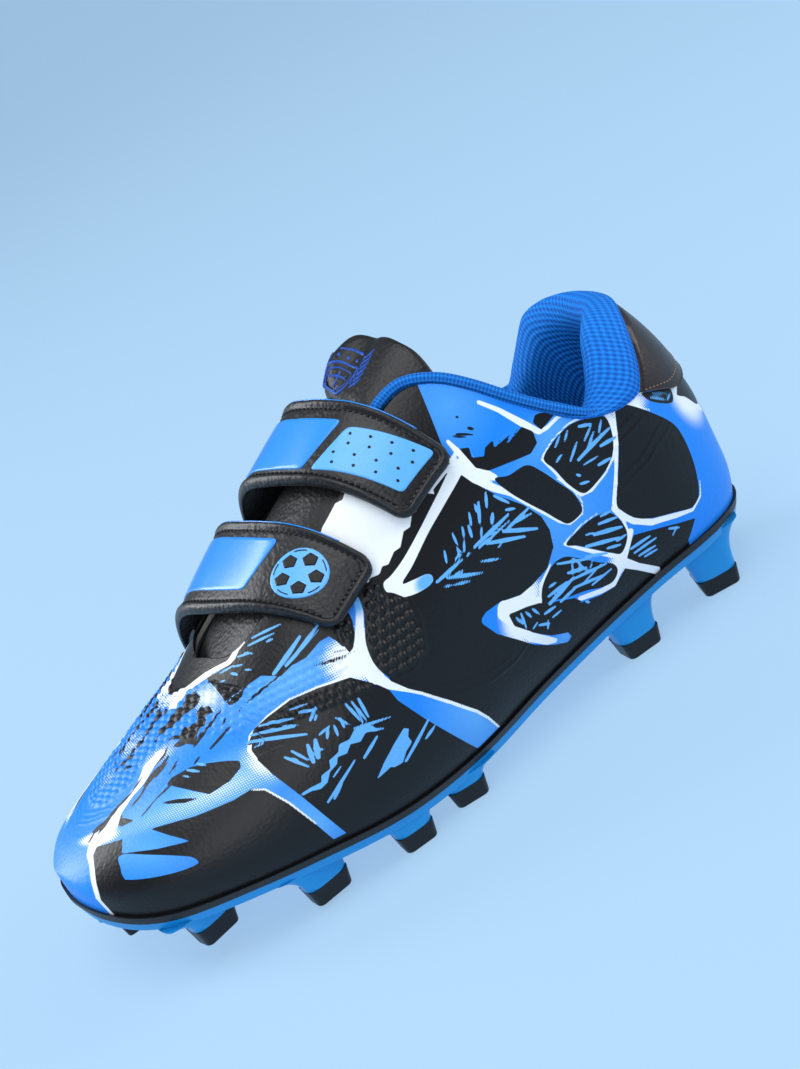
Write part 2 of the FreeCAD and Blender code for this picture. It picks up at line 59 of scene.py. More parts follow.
# ------------------------------------------------------------ form of the boot
# place along the boot, lateral and medial half width, lateral and medial tuck, feather height,
# widest height, ridge height, ridge offset, fullness of the shoulder
STATIONS = np.array([
    (-106, 37, 34, 2, 2, 26, 30.5, 34, -4, 2.1),
    (-100, 37, 34, 2, 2, 22, 29, 38.5, -5, 2.2),
    (-90, 37, 34, 2, 2, 19.5, 27.5, 43, -5, 2.2),
    (-72, 38, 35, 3, 2, 17.5, 26, 51, -5, 2.1),
    (-50, 41, 37, 3, 3, 15, 25, 61, -4, 2.0),
    (-25, 43, 37, 4, 4, 11.5, 25.5, 77, -4, 2.1),
    (0, 40, 34, 6, 6, 10, 28, 92, -3, 2.15),
    (25, 35, 30, 7, 7, 12, 33, 106, -2, 2.1),
    (50, 32, 28, 6, 6, 15.5, 35, 117, 0, 2.0),
    (75, 30.5, 28, 4, 4, 19, 36, 124, 0, 2.1),
    (95, 29, 28, 3, 3, 19, 37, 128, 0, 2.1),
    (109, 29, 28, 3, 3, 17.5, 37, 128, 0, 2.1)], float)
TOE, HEEL, R_TOE, R_HEEL, TUCK = -106.0, 109.0, 46.0, 32.0, 0.28


def hermite(y, xs, vs):
    i = np.clip(np.searchsorted(xs, y) - 1, 0, len(xs) - 2)
    h = xs[i + 1] - xs[i]
    t = np.clip((y - xs[i]) / h, 0, 1)
    n = len(xs)
    slope = np.array([(vs[min(j + 1, n - 1)] - vs[max(j - 1, 0)])
                      / (xs[min(j + 1, n - 1)] - xs[max(j - 1, 0)]) for j in range(n)])
    p, q = slope[i] * h, slope[i + 1] * h
    return ((2 * t**3 - 3 * t * t + 1) * vs[i] + (t**3 - 2 * t * t + t) * p
            + (-2 * t**3 + 3 * t * t) * vs[i + 1] + (t**3 - t * t) * q)


def station(y, k):
    return hermite(np.asarray(y, float), STATIONS[:, 0], STATIONS[:, k])


def lean(y, z):
    w = np.clip((y - 40) / 69.0, 0, 1)
    w = w * w * (3 - 2 * w)
    up, down = np.maximum(z - 46, 0), np.maximum(32 - z, 0)
    return -(0.0062 * up * up + 0.02 * up + 0.014 * down * down) * w


def form(y, v, d=0.0, end=None):
    """Points of the form: v 0 lateral feather, 0.5 ridge, 1 medial feather; d outward.

    end is the offset used for the rounding at toe and heel (d itself if left out)."""
    y, v, d = np.broadcast_arrays(np.asarray(y, float), np.asarray(v, float), np.asarray(d, float))
    e = d if end is None else np.broadcast_to(np.asarray(end, float), y.shape)
    xl, xm, ul, um, zf, zc, zt, xt, n = [station(y, k) for k in range(1, 10)]
    lat = v <= 0.5
    side = np.where(lat, xl + d, -xm - d)
    tuck = np.where(lat, ul, -um)
    w = np.where(lat, 2 * v, 2 * (1 - v))
    k = 1 - w / TUCK
    a = np.clip((w - TUCK) / (1 - TUCK), 0, 1) * math.pi / 2
    low = w < TUCK
    c, s = np.maximum(np.cos(a), 0), np.maximum(np.sin(a), 0)
    x = np.where(low, side - tuck * k * np.abs(k), xt + (side - xt) * c ** (2 / n))
    z = np.where(low, zc - (zc - zf) * k, zc + (zt + d - zc) * s ** (2 / n))
    f = np.ones_like(y)
    for reach, radius in ((y - (TOE - e), R_TOE), ((HEEL + e) - y, R_HEEL)):
        q = np.clip(1 - np.clip((radius - reach) / radius, 0, 1) ** 2.3, 0, None) ** (1 / 2.3)
        f = f * np.where(reach < radius, q, 1.0)
    t = np.clip((-40 - y) / 67.5, 0, 1)
    return np.stack([-6.0 * t * t + x * f, y + lean(y, z), z], -1)


def run_length(path):
    """Distance along a polyline at each of its points."""
    return np.concatenate([[0], np.cumsum(np.linalg.norm(np.diff(path, axis=0), axis=1))])


def smooth_line(points, count=160, closed=False):
    """A smooth dense polyline through given points."""
    p = np.asarray(points, float)
    if closed:
        p = np.vstack([p[-1], p, p[0], p[1]])
    else:
        p = np.vstack([2 * p[0] - p[1], p, 2 * p[-1] - p[-2]])
    out = []
    n = len(p) - 3
    per = max(2, count // n)
    for i in range(n):
        a, b, c, d = p[i:i + 4]
        for t in np.linspace(0, 1, per, endpoint=False):
            out.append(0.5 * (2 * b + (c - a) * t + (2 * a - 5 * b + 4 * c - d) * t * t
                              + (3 * b - a - 3 * c + d) * t**3))
    if not closed:
        out.append(p[-2])
    return np.array(out)


TOPLINE = smooth_line([(21.5, 95.5), (27, 98.6), (34, 100), (41, 97.5), (48, 92), (56, 84), (64, 76.5),
                       (72, 70), (78, 68), (83, 70), (87, 75), (90, 82), (92.3, 85.5), (95.5, 85),
                       (104, 84), (130, 84)], 300)
THROAT_LAT = smooth_line([(-2, -46), (12, -40), (17.5, -28), (19.5, -8), (19, 4), (16, 21), (15.5, 30)],
                         160)
THROAT_MED = smooth_line([(-2, -46), (-15, -40), (-21, -28), (-23, -8), (-22.5, 4), (-19, 21),
                          (-18.5, 30)], 160)


def smooth_step(a, b, x):
    """0 below a, 1 above b, and an even S between."""
    t = np.clip((np.asarray(x, float) - a) / (b - a), 0, 1)
    return t * t * (3 - 2 * t)


def medial_drop(y):
    """How much lower the medial topline runs than the lateral one."""
    return 4.6 * smooth_step(32, 42, y) * (1 - smooth_step(66, 80, y))


def topline(y, lateral=True):
    z = np.interp(y, TOPLINE[:, 0], TOPLINE[:, 1])
    return z if lateral else z - medial_drop(y)


def is_cut(p):
    x, y, z = p[..., 0], p[..., 1], p[..., 2]
    xl = np.interp(y, THROAT_LAT[:, 1], THROAT_LAT[:, 0])
    xm = np.interp(y, THROAT_MED[:, 1], THROAT_MED[:, 0])
    throat = (y > -46) & (y < 30) & (x < xl) & (x > xm) & (z > 45)
    top = np.where(x > 0, topline(y), topline(y, False))
    return ((y > 21.5) & (z > top)) | throat


def top_edge(y, lateral=True):
    """The v at which the upper stops on one side (0.5 where it runs over the ridge)."""
    out = []
    for yy in np.atleast_1d(y):
        grid = np.linspace(0.0, 0.5, 160)
        v = grid if lateral else 1 - grid
        cut = is_cut(form(yy, v))
        if not cut.any():
            out.append(0.5)
            continue
        i = int(np.argmax(cut))
        lo, hi = grid[max(i - 1, 0)], grid[i]
        for _ in range(18):
            mid = (lo + hi) / 2
            if is_cut(form(yy, mid if lateral else 1 - mid)):
                hi = mid
            else:
                lo = mid
        out.append(lo)
    return np.array(out)


# ------------------------------------------------------------------- meshes
def put(name, verts, faces, body, mat, replaces=(), attrs=None, uv=None, merge=0.0):
    """Make an object from millimetre vertices and hang it on a body of the frame."""
    me = bpy.data.meshes.new(name)
    me.from_pydata([tuple(p) for p in world(verts)], [], [tuple(int(i) for i in f) for f in faces])
    for key, values in (attrs or {}).items():
        a = me.attributes.new(key, "FLOAT", "POINT")
        a.data.foreach_set("value", np.asarray(values, np.float32).ravel())
    if uv is not None:
        layer = me.uv_layers.new(name="UVMap")
        loops = np.zeros(len(me.loops), np.int32)
        me.loops.foreach_get("vertex_index", loops)
        layer.data.foreach_set("uv", np.asarray(uv, np.float32)[loops].ravel())
    if merge:
        bm = bmesh.new()
        bm.from_mesh(me)
        bmesh.ops.remove_doubles(bm, verts=bm.verts, dist=merge * 0.001)
        bmesh.ops.dissolve_degenerate(bm, edges=bm.edges, dist=1e-7)
        bm.to_mesh(me)
        bm.free()
    me.polygons.foreach_set("use_smooth", np.ones(len(me.polygons), bool))
    me.validate()
    me.update()
    obj = bpy.data.objects.new(name, me)
    bpy.context.scene.collection.objects.link(obj)
    if mat is not None:
        me.materials.append(mat)
    if body:
        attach(obj, body)
    if replaces:
        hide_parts(*replaces)
    return obj


def grid_faces(rows, cols, wrap=False, flip=False, start=0):
    faces = []
    last = cols if wrap else cols - 1
    for i in range(rows - 1):
        for j in range(last):
            k = (j + 1) % cols
            low, high = start + i * cols, start + (i + 1) * cols
            q = (low + j, low + k, high + k, high + j)
            faces.append(q[::-1] if flip else q)
    return faces


def tube(path, radius, sides=14):
    """A round rod along a path; returns vertices, faces and a map (along, around) in mm."""
    path = np.asarray(path, float)
    n = len(path)
    tan = np.gradient(path, axis=0)
    tan /= np.linalg.norm(tan, axis=1, keepdims=True) + 1e-12
    up = np.array([0.13, 0.21, 0.97])
    side = np.cross(tan, up)
    side /= np.linalg.norm(side, axis=1, keepdims=True) + 1e-12
    nor = np.cross(side, tan)
    radius = np.broadcast_to(radius, (n,))
    verts, uv = [], []
    run = run_length(path)
    for i in range(n):
        for k in range(sides):
            a = 2 * math.pi * k / sides
            verts.append(path[i] + radius[i] * (math.cos(a) * side[i] + math.sin(a) * nor[i]))
            uv.append((run[i], k / sides * 2 * math.pi * radius[i]))
    faces = []
    for i in range(n - 1):
        for k in range(sides):
            a, b = i * sides + k, i * sides + (k + 1) % sides
            c, d = (i + 1) * sides + (k + 1) % sides, (i + 1) * sides + k
            faces.append((a, d, c, b))
    faces.append(tuple(range(sides)))
    faces.append(tuple(range((n - 1) * sides, n * sides))[::-1])
    return np.array(verts), faces, np.array(uv)


# ------------------------------------------------------------------ materials
def new_material(name):
    m = bpy.data.materials.new(name)
    m.use_nodes = True
    nt = m.node_tree
    return m, nt, nt.nodes["Principled BSDF"]


def math_node(nt, op, a, b=None, c=None):
    n = nt.nodes.new("ShaderNodeMath")
    n.operation = op
    for i, value in enumerate((a, b, c)):
        if value is None:
            continue
        if isinstance(value, (int, float)):
            n.inputs[i].default_value = value
        else:
            nt.links.new(value, n.inputs[i])
    return n.outputs[0]


def mix_colour(nt, factor, a, b):
    n = nt.nodes.new("ShaderNodeMix")
    n.data_type = "RGBA"
    nt.links.new(factor, n.inputs[0])
    for value, slot in ((a, 6), (b, 7)):
        if isinstance(value, tuple):
            n.inputs[slot].default_value = (*value, 1.0)
        else:
            nt.links.new(value, n.inputs[slot])
    return n.outputs[2]


def attribute(nt, name):
    n = nt.nodes.new("ShaderNodeAttribute")
    n.attribute_name = name
    return n.outputs["Fac"]


def inside(nt, name, soft=0.07):
    """1 where a signed distance attribute is negative, with a narrow soft edge."""
    n = nt.nodes.new("ShaderNodeMapRange")
    nt.links.new(attribute(nt, name), n.inputs[0])
    n.inputs[1].default_value = -soft
    n.inputs[2].default_value = soft
    n.inputs[3].default_value = 1.0
    n.inputs[4].default_value = 0.0
    return n.outputs[0]


def leather_grain(nt, scale, strength):
    """Pebbled grain as a bump from the object's own coordinates."""
    tc = nt.nodes.new("ShaderNodeTexCoord")
    vor = nt.nodes.new("ShaderNodeTexVoronoi")
    vor.feature = "SMOOTH_F1"
    vor.inputs["Scale"].default_value = 950 * scale
    vor.inputs["Smoothness"].default_value = 0.6
    nt.links.new(tc.outputs["Object"], vor.inputs["Vector"])
    noi = nt.nodes.new("ShaderNodeTexNoise")
    noi.inputs["Scale"].default_value = 420 * scale
    noi.inputs["Detail"].default_value = 4
    nt.links.new(tc.outputs["Object"], noi.inputs["Vector"])
    h = math_node(nt, "MULTIPLY_ADD", noi.outputs[0], 0.7, vor.outputs["Distance"])
    bump = nt.nodes.new("ShaderNodeBump")
    bump.inputs["Strength"].default_value = strength
    bump.inputs["Distance"].default_value = 0.0003
    nt.links.new(h, bump.inputs["Height"])
    return bump.outputs[0]


def plain(name, colour, rough=0.5, grain=0.0, grain_scale=1.0, coat=0.0, sheen=0.0, specular=0.3):
    m, nt, b = new_material(name)
    b.inputs["Base Color"].default_value = (*colour, 1)
    b.inputs["Roughness"].default_value = rough
    b.inputs["Specular IOR Level"].default_value = specular
    if coat:
        b.inputs["Coat Weight"].default_value = coat
        b.inputs["Coat Roughness"].default_value = 0.15
    if sheen:
        b.inputs["Sheen Weight"].default_value = sheen
    if grain:
        nt.links.new(leather_grain(nt, grain_scale, grain), b.inputs["Normal"])
    return m


BLACK = (0.006, 0.006, 0.007)
BLUE = (0.012, 0.235, 0.84)
LIGHT_BLUE = (0.13, 0.43, 0.88)
WHITE = (0.86, 0.89, 0.93)


def print_material():
    """Printed synthetic leather: black with blue fields, white lines and light strokes."""
    m, nt, b = new_material("printed_leather")
    uv = nt.nodes.new("ShaderNodeUVMap")
    uv.uv_map = "UVMap"
    sep = nt.nodes.new("ShaderNodeSeparateXYZ")
    nt.links.new(uv.outputs[0], sep.inputs[0])
    u, v = sep.outputs[0], sep.outputs[1]
    # halftone dots: a product of waves across the print, about one millimetre apart; the fade they
    # threshold is white print, with a painted highlight in it on the toe cap
    p = math_node(nt, "MULTIPLY", math_node(nt, "ADD", u, v), 5.4)
    q = math_node(nt, "MULTIPLY", math_node(nt, "SUBTRACT", u, v), 5.4)
    dots = math_node(nt, "MULTIPLY", math_node(nt, "SINE", p), math_node(nt, "SINE", q))
    fade = math_node(nt, "MULTIPLY_ADD", dots, 0.42, attribute(nt, "fade"))
    step = nt.nodes.new("ShaderNodeMapRange")
    nt.links.new(fade, step.inputs[0])
    for i, value in ((1, 0.42), (2, 0.58), (3, 0.0), (4, 1.0)):
        step.inputs[i].default_value = value
    tint = attribute(nt, "tint")
    blue = mix_colour(nt, tint, BLUE, LIGHT_BLUE)
    blue = mix_colour(nt, step.outputs[0], blue, WHITE)
    col = mix_colour(nt, inside(nt, "sd_field"), BLACK, blue)
    white = mix_colour(nt, attribute(nt, "fade_white"), WHITE, LIGHT_BLUE)
    col = mix_colour(nt, inside(nt, "sd_white"), col, white)
    col = mix_colour(nt, inside(nt, "sd_cell"), col, BLACK)
    col = mix_colour(nt, inside(nt, "sd_stroke"), col, LIGHT_BLUE)
    col = mix_colour(nt, inside(nt, "sd_ink"), col, BLACK)
    nt.links.new(col, b.inputs["Base Color"])
    b.inputs["Roughness"].default_value = 0.38
    b.inputs["Specular IOR Level"].default_value = 0.30
    nt.links.new(leather_grain(nt, 1.0, 0.22), b.inputs["Normal"])
    return m


def knit_material(name, colour, deep, pitch=1.35, strength=0.9):
    """Knitted mesh: staggered rows of small cells, from the piece's own map in mm; the hollows between
    the cells are painted darker as shade.
    """
    m, nt, b = new_material(name)
    uv = nt.nodes.new("ShaderNodeUVMap")
    uv.uv_map = "UVMap"
    sep = nt.nodes.new("ShaderNodeSeparateXYZ")
    nt.links.new(uv.outputs[0], sep.inputs[0])
    k = 2 * math.pi / pitch
    skew = math_node(nt, "MULTIPLY", sep.outputs[1], 0.62)
    waves = []
    for op in ("ADD", "SUBTRACT"):
        phase = math_node(nt, op, sep.outputs[0], skew)
        waves.append(math_node(nt, "SINE", math_node(nt, "MULTIPLY", phase, k)))
    cell = math_node(nt, "MULTIPLY", waves[0], waves[1])
    height = math_node(nt, "MULTIPLY_ADD", cell, 0.5, 0.5)
    # low parts of each cell take the darker colour: painted shade in the hollows
    col = mix_colour(nt, height, deep, colour)
    nt.links.new(col, b.inputs["Base Color"])
    b.inputs["Roughness"].default_value = 0.72
    b.inputs["Specular IOR Level"].default_value = 0.2
    bump = nt.nodes.new("ShaderNodeBump")
    bump.inputs["Strength"].default_value = strength
    bump.inputs["Distance"].default_value = 0.0004
    nt.links.new(height, bump.inputs["Height"])
    nt.links.new(bump.outputs[0], b.inputs["Normal"])
    return m


PRINT = print_material()
# the second colour of each knit is the painted shade of the hollows between its cells
KNIT = knit_material("collar_knit", (0.008, 0.25, 0.86), (0.003, 0.085, 0.42), 2.5)
TAPE = knit_material("woven_tape", (0.008, 0.24, 0.80), (0.003, 0.07, 0.34), 1.9, 1.0)
LEATHER = plain("black_leather", (0.010, 0.010, 0.011), 0.42, 0.45, 1.0, 0.05)
LEATHER_EDGE = plain("leather_edge", (0.006, 0.006, 0.007), 0.5, 0.3, 1.4)
THREAD = plain("thread", (0.014, 0.014, 0.015), 0.55)
TPU = plain("blue_plate", (0.010, 0.27, 0.66), 0.33, coat=0.15)
TIP = plain("stud_tip_black", (0.010, 0.010, 0.012), 0.38, 0.12, 0.7)
RAND = plain("rand_black", (0.010, 0.010, 0.012), 0.40, 0.1, 1.2)
HEEL_TAB = plain("heel_tab", (0.020, 0.011, 0.009), 0.40, 0.25, 1.0, 0.12)
LINING = plain("lining_black", (0.02, 0.02, 0.024), 0.85, 0.5, 1.5, sheen=0.2)
SOCK = plain("sock_cover", (0.03, 0.16, 0.42), 0.85, 0.6, 1.3, sheen=0.3)
FOAM = plain("foam_grey", (0.45, 0.45, 0.43), 0.9, 0.5, 1.0)
BOARD = plain("fibre_board", (0.5, 0.42, 0.32), 0.85, 0.3, 0.8)
HOOK = plain("hook_tape", (0.012, 0.012, 0.012), 0.9, 0.9, 1.8)
GLOSS_BLUE = plain("strap_film_blue", (0.012, 0.25, 0.80), 0.16, coat=0.6)
BADGE = plain("badge_blue", (0.010, 0.07, 0.38), 0.35, 0.1)


# ------------------------------------------------------------ the printed design
# The design is drawn in a flat map of the upper: along the boot (y, mm) and up from
# the feather edge around the boot (g, mm).
FAR = 4.0


def poly_distance(pts, poly):
    """Signed distance from points to a closed outline, negative inside, FAR when far off."""
    poly = np.asarray(poly, float)
    lo, hi = poly.min(0) - FAR, poly.max(0) + FAR
    out = np.full(len(pts), FAR)
    near = np.all((pts > lo) & (pts < hi), axis=1)
    p = pts[near]
    if not len(p):
        return out
    best = np.full(len(p), 1e9)
    inside_ = np.zeros(len(p), bool)
    for a, b in zip(poly, np.roll(poly, -1, 0)):
        ab = b - a
        t = np.clip(((p - a) @ ab) / (ab @ ab + 1e-12), 0, 1)
        best = np.minimum(best, np.hypot(*(p - a - t[:, None] * ab).T))
        cross = ((a[1] > p[:, 1]) != (b[1] > p[:, 1]))
        with np.errstate(divide="ignore", invalid="ignore"):
            xint = (b[0] - a[0]) * (p[:, 1] - a[1]) / (b[1] - a[1]) + a[0]
        inside_ ^= cross & (p[:, 0] < xint)
    out[near] = np.where(inside_, -best, np.minimum(best, FAR))
    return out


def line_distance(pts, path):
    """Distance to a line of (y, g, width) points, less half its width there."""
    path = np.asarray(path, float)
    lo, hi = path[:, :2].min(0) - FAR - 2, path[:, :2].max(0) + FAR + 2
    out = np.full(len(pts), FAR)
    near = np.all((pts > lo) & (pts < hi), axis=1)
    p = pts[near]
    if not len(p):
        return out
    best = np.full(len(p), FAR)
    for a, b in zip(path[:-1], path[1:]):
        ab = b[:2] - a[:2]
        t = np.clip(((p - a[:2]) @ ab) / (ab @ ab + 1e-12), 0, 1)
        d = np.hypot(*(p - a[:2] - t[:, None] * ab).T) - 0.5 * (a[2] + t * (b[2] - a[2]))
        best = np.minimum(best, d)
    out[near] = best
    return out


def union(pts, polys=(), lines=()):
    out = np.full(len(pts), FAR)
    for poly in polys:
        out = np.minimum(out, poly_distance(pts, poly))
    for path in lines:
        out = np.minimum(out, line_distance(pts, path))
    return out


def round_poly(points, count=90):
    return smooth_line(points, count, closed=True)


# Cells of the side web: black areas with a fine outline.
CELL_NARROW = round_poly([(39.7, 58.3), (43.6, 56.3), (49.3, 54.8), (52.1, 50.5), (54.3, 45.5),
                          (56.4, 40.5), (56.8, 36.3), (55.7, 34.5), (51.4, 34.9), (49.3, 37.7),
                          (47.1, 42), (44.3, 47), (41.4, 52.7)])
CELL_SCRATCH = round_poly([(54.3, 52.7), (59.3, 54.1), (65.7, 54.1), (70, 52.7), (74.3, 50.6),
                           (76.1, 48.4), (74.3, 43.4), (71.4, 39.9), (67.1, 38), (61.4, 37.4),
                           (58.6, 38.4), (56.4, 43.4), (55.4, 48.4)])
CELL_HEEL = round_poly([(80.4, 49.1), (83.6, 47.7), (87.9, 42), (91.4, 36.3), (92.5, 32), (92.1, 24.1),
                        (90.7, 18.4), (88.6, 14.1), (85, 12.7), (80, 14.9), (72.9, 18.4), (68.6, 22),
                        (66.1, 26.3), (65.7, 29.1), (70, 34.9), (74.3, 40.6), (77.9, 46.3)])
CELL_LOW_A = round_poly([(47.9, 31.3), (54.3, 31.6), (59.3, 30.6), (62.9, 28.4), (64.6, 24.1),
                         (64.3, 19.9), (60.7, 17.4), (57.9, 19.9), (54.3, 24.1), (50.7, 28.4)])
CELL_LOW_B = round_poly([(36.4, 27.7), (41.4, 29.9), (45.7, 29.1), (49.3, 25.6), (53.6, 20.6), (57.1, 17),
                         (57.5, 14.1), (55, 12.7), (51.4, 14.1), (47.1, 17), (41.4, 19.9), (37.1, 22.7),
                         (34.3, 24.1)])
CELL_CLAW = [(24.4, 29.2), (29.9, 27), (33.6, 25), (35.2, 23.2), (38, 21.6), (43, 18.2), (44.5, 15.7),
             (38, 16), (33, 15.6), (27.4, 21.3), (24.3, 25.6)]
CELL_FRONT = [(36, 70.6), (38.4, 69), (37.6, 66.6), (40.5, 64.6), (42, 66), (45, 66), (44, 64.2),
              (50, 63.8), (47, 62.4), (54, 63), (56, 60), (55.2, 57), (52, 56.2), (47, 58), (42, 60),
              (39.5, 61), (37, 64)]
CELL_COLLAR = [(57.4, 61.6), (59.2, 62.6), (60.5, 62.2), (62, 61.3), (65.5, 59), (61, 58.7), (58.3, 58.6)]
CELL_TAB = round_poly([(89.4, 47.5), (92, 46.2), (95.4, 44.5), (97.4, 44), (98.2, 42), (96.5, 39.6),
                       (94.3, 40.2), (90.3, 44)])
CELL_BACK = [(98.5, 39.8), (101, 37.6), (103.6, 33), (105, 32), (108, 36), (108, 43), (102, 42)]

FIELD = [(33.3, 66), (32.8, 74.5), (34.2, 80), (36.2, 88), (38, 95), (80, 95), (110, 95), (110, -3),
         (82, -3), (81, 4.6), (84.8, 9.2), (79, 11.8), (72, 15.4), (66, 18.6), (63, 17.2), (60.3, 13.2),
         (55, 10.9), (50, 12.5), (44, 15.6), (38.2, 19.4), (35.4, 22.9), (36, 26), (34, 26.2), (29.9, 29),
         (24, 30.4), (22.7, 29.2), (24.1, 25.6), (27, 21.3), (32.7, 14.8), (37.3, 11.3), (37.9, 9.1),
         (36.3, 8.5), (32, 12), (27, 17), (23.4, 22), (19, 27.7), (16.9, 32.7), (17.1, 33.8),
         (19.2, 34.3), (24, 33.5), (29.9, 30.7), (34.3, 30.2), (40, 30.4), (44.4, 33.4), (45.8, 37.7),
         (45.6, 42), (42.9, 47.8), (37.9, 55), (35.7, 59.2)]
BAR = [(-13.6, 36), (-13, 31.3), (-9.5, 23.4), (-3.7, 12), (-0.2, 4.6), (7.7, 4.7), (5.5, 11),
       (3.4, 15.6), (-1.6, 22.7), (-7.3, 29.9), (-12.3, 36.6)]
ARROW = round_poly([(34, 66.1), (33.4, 69.2), (24, 65.7), (16, 62.6), (8, 59.7), (3, 58.4), (0.3, 58),
                    (-0.3, 55.6), (1.5, 52.8), (5, 51.1), (9, 50.2), (11.3, 50.4), (11.8, 51.8),
                    (10.5, 53), (7, 54), (4.2, 55.1), (9, 56.9), (17, 60.3), (25, 62.9)], 150)
WHITE_FACING = [(-9, 80), (-5, 76.4), (-5.6, 77.6), (-2.6, 80), (-3.4, 81), (0.2, 82), (-0.4, 83),
                (4.5, 81.6), (8, 84), (16, 80), (20, 70), (26, 69.5), (36, 71), (33.4, 69), (24.4, 67.6),
                (24.2, 66.4), (22.4, 68.2), (18.6, 67.2), (17.6, 66.4), (16.4, 66.8), (14, 64.6),
                (12, 64.9), (9, 62.4), (7, 62.6), (4, 61), (2.4, 61.6), (0.8, 60.4), (-2, 61),
                (-3.4, 59.4), (-6, 59.4), (-8, 64), (-12, 70)]
TOE_CAP = [(-110, -4), (-99.6, -4), (-99.8, 3), (-100.6, 8), (-99.2, 14), (-97.2, 21), (-96.4, 25.4),
           (-95, 28.6), (-93.6, 31), (-90.6, 35.4), (-88, 38.2), (-85, 40.6), (-80, 43), (-76, 46),
           (-73.6, 49), (-70, 50.4), (-66, 50.4), (-63.4, 52.4), (-58, 60), (-52, 63.6), (-48, 60),
           (-47, 64), (-50, 66), (-56, 69), (-57, 74), (-62, 90), (-110, 90)]
CLAW_A = [(-87.4, 28.4), (-89.6, 23.4), (-82, 21.6), (-74.4, 20.7), (-77.8, 24.2), (-80.2, 27.4),
          (-81.2, 28.8)]
CLAW_B = round_poly([(-90.2, 22.9), (-92, 18.5), (-92.6, 15.8), (-91.5, 14.7), (-82, 14.1), (-76.5, 14.4),
                     (-75.6, 15.3), (-77, 17.1), (-84, 20.5)], 60)
BAND = [(-95, 30.8), (-94.6, 28.4), (-89, 28.3), (-80, 27.9), (-70, 26.4), (-60, 26.2), (-55, 26.9),
        (-52.6, 25.8), (-49.6, 20), (-46.8, 12), (-44.8, 5.2), (-41.3, 5.3), (-46, 20), (-48.8, 28),
        (-49.9, 33.6), (-50, 36), (-47.5, 39.6), (-41.5, 42.4), (-35, 43.9), (-28, 43.8), (-20, 42.4),
        (-16.6, 38.6), (-13.8, 36), (-11.6, 37), (-13.2, 41.4), (-11.9, 48), (-9.2, 52.6), (-7.2, 55.6),
        (-7, 59.4), (-10.8, 59.4), (-11.4, 54.5), (-14, 49), (-16.6, 47.8), (-16.8, 50), (-18.4, 54),
        (-21, 54), (-26, 52), (-30, 52), (-33.5, 50.6), (-37, 53.5), (-41, 53), (-44, 50.6),
        (-46.8, 49.8), (-47.6, 52), (-47, 57.4), (-47.4, 61), (-50.2, 64), (-58, 62), (-64, 52),
        (-67, 48.4), (-74, 46), (-84.8, 37.8), (-84, 36.6), (-88, 32.6)]
LEAF = [(-71, 39), (-69, 40.2), (-64, 40.2), (-60, 38.6), (-55.6, 36.4), (-53.4, 35), (-54, 33.2),
        (-58, 31.2), (-64, 30.3), (-66.6, 33), (-69.4, 36.6)]
LEAF_SMALL = [(-75.2, 34.6), (-71, 33.1), (-66.3, 30.5), (-70, 31), (-73.4, 32.9)]
NOTCH = [(-86.4, 33.8), (-84.8, 36.3), (-82.4, 33), (-85.8, 32.7)]
BLOB_A = [(-66, 56.4), (-64.4, 58.6), (-63.6, 59.6), (-61.6, 59.2), (-58.4, 61.2), (-56, 61),
          (-53.4, 63.2), (-51.4, 62.2), (-51.2, 58.4), (-54.6, 56.8), (-57, 57.6), (-60.6, 56.2),
          (-63.4, 57)]
BLOB_B = [(-64.6, 53.2), (-63, 53), (-60.6, 51.8), (-58.8, 53.4), (-58, 51.8), (-55, 52.4), (-54.8, 55),
          (-52.8, 55.7), (-51, 53.6), (-51.4, 51.4), (-53.6, 51.8), (-54, 49.8), (-57, 49), (-58.6, 46.8),
          (-59.4, 45.2), (-61, 47.6), (-63, 48.2), (-64.2, 49.8), (-61.4, 50.6)]
PATCH_DOTS = round_poly([(-13, 41.6), (-11, 37.2), (-5, 35.9), (0, 37.5), (2.8, 43.6), (3.6, 49.6),
                         (1.4, 54),
                         (-0.8, 56.4), (-0.4, 59), (-4, 60.6), (-6.6, 58), (-8.6, 53.4), (-12, 47.6)],
                         110)
PATCH_LOW = [(-50, 37.4), (-46, 41), (-41.5, 42.4), (-35, 43.9), (-28, 43.7), (-20, 42.4), (-16, 38.4),
             (-15.4, 36), (-22, 37.2), (-34, 37.8), (-44, 38)]
PATCH_UP = [(-17.2, 50), (-18.2, 55.4), (-13, 57), (-11, 56.4), (-12.6, 51.6), (-14.4, 49.2)]
PATCH_LEFT = [(-47, 49.8), (-47.4, 57), (-46.4, 60.6), (-43, 59.6), (-39, 56), (-41.2, 53.2), (-44, 50.8)]
ZIGZAG = [(-43, 20.2), (-40.2, 21.2), (-39.2, 23), (-36.4, 23.8), (-35.6, 25.8), (-32.6, 26.8),
          (-31.4, 28.6), (-28.6, 28.6), (-26.4, 30.2), (-22.6, 29.8), (-21.4, 27.9), (-24.4, 28.2),
          (-26.6, 26.8), (-29, 27.4), (-31, 25.6), (-33.4, 25.8), (-34.4, 24.2), (-37, 23), (-38.8, 20.8),
          (-41, 19.9)]
FLAG = [(-28, 15.9), (-24.4, 18.9), (-19.6, 22), (-15.5, 24.2), (-14.4, 23.4), (-15.6, 21.6),
        (-15.4, 19.8), (-17.8, 18.6), (-20.2, 16.3), (-22.6, 16.4), (-23.4, 17), (-25, 16.6)]


def st(*values):
    """A straight stroke: start, end and width, thinner at its ends."""
    y0, g0, y1, g1 = values[:4]
    w = values[4] if len(values) > 4 else 0.8
    return [(y0, g0, w * 0.7), ((y0 + y1) / 2, (g0 + g1) / 2, w), (y1, g1, w * 0.55)]


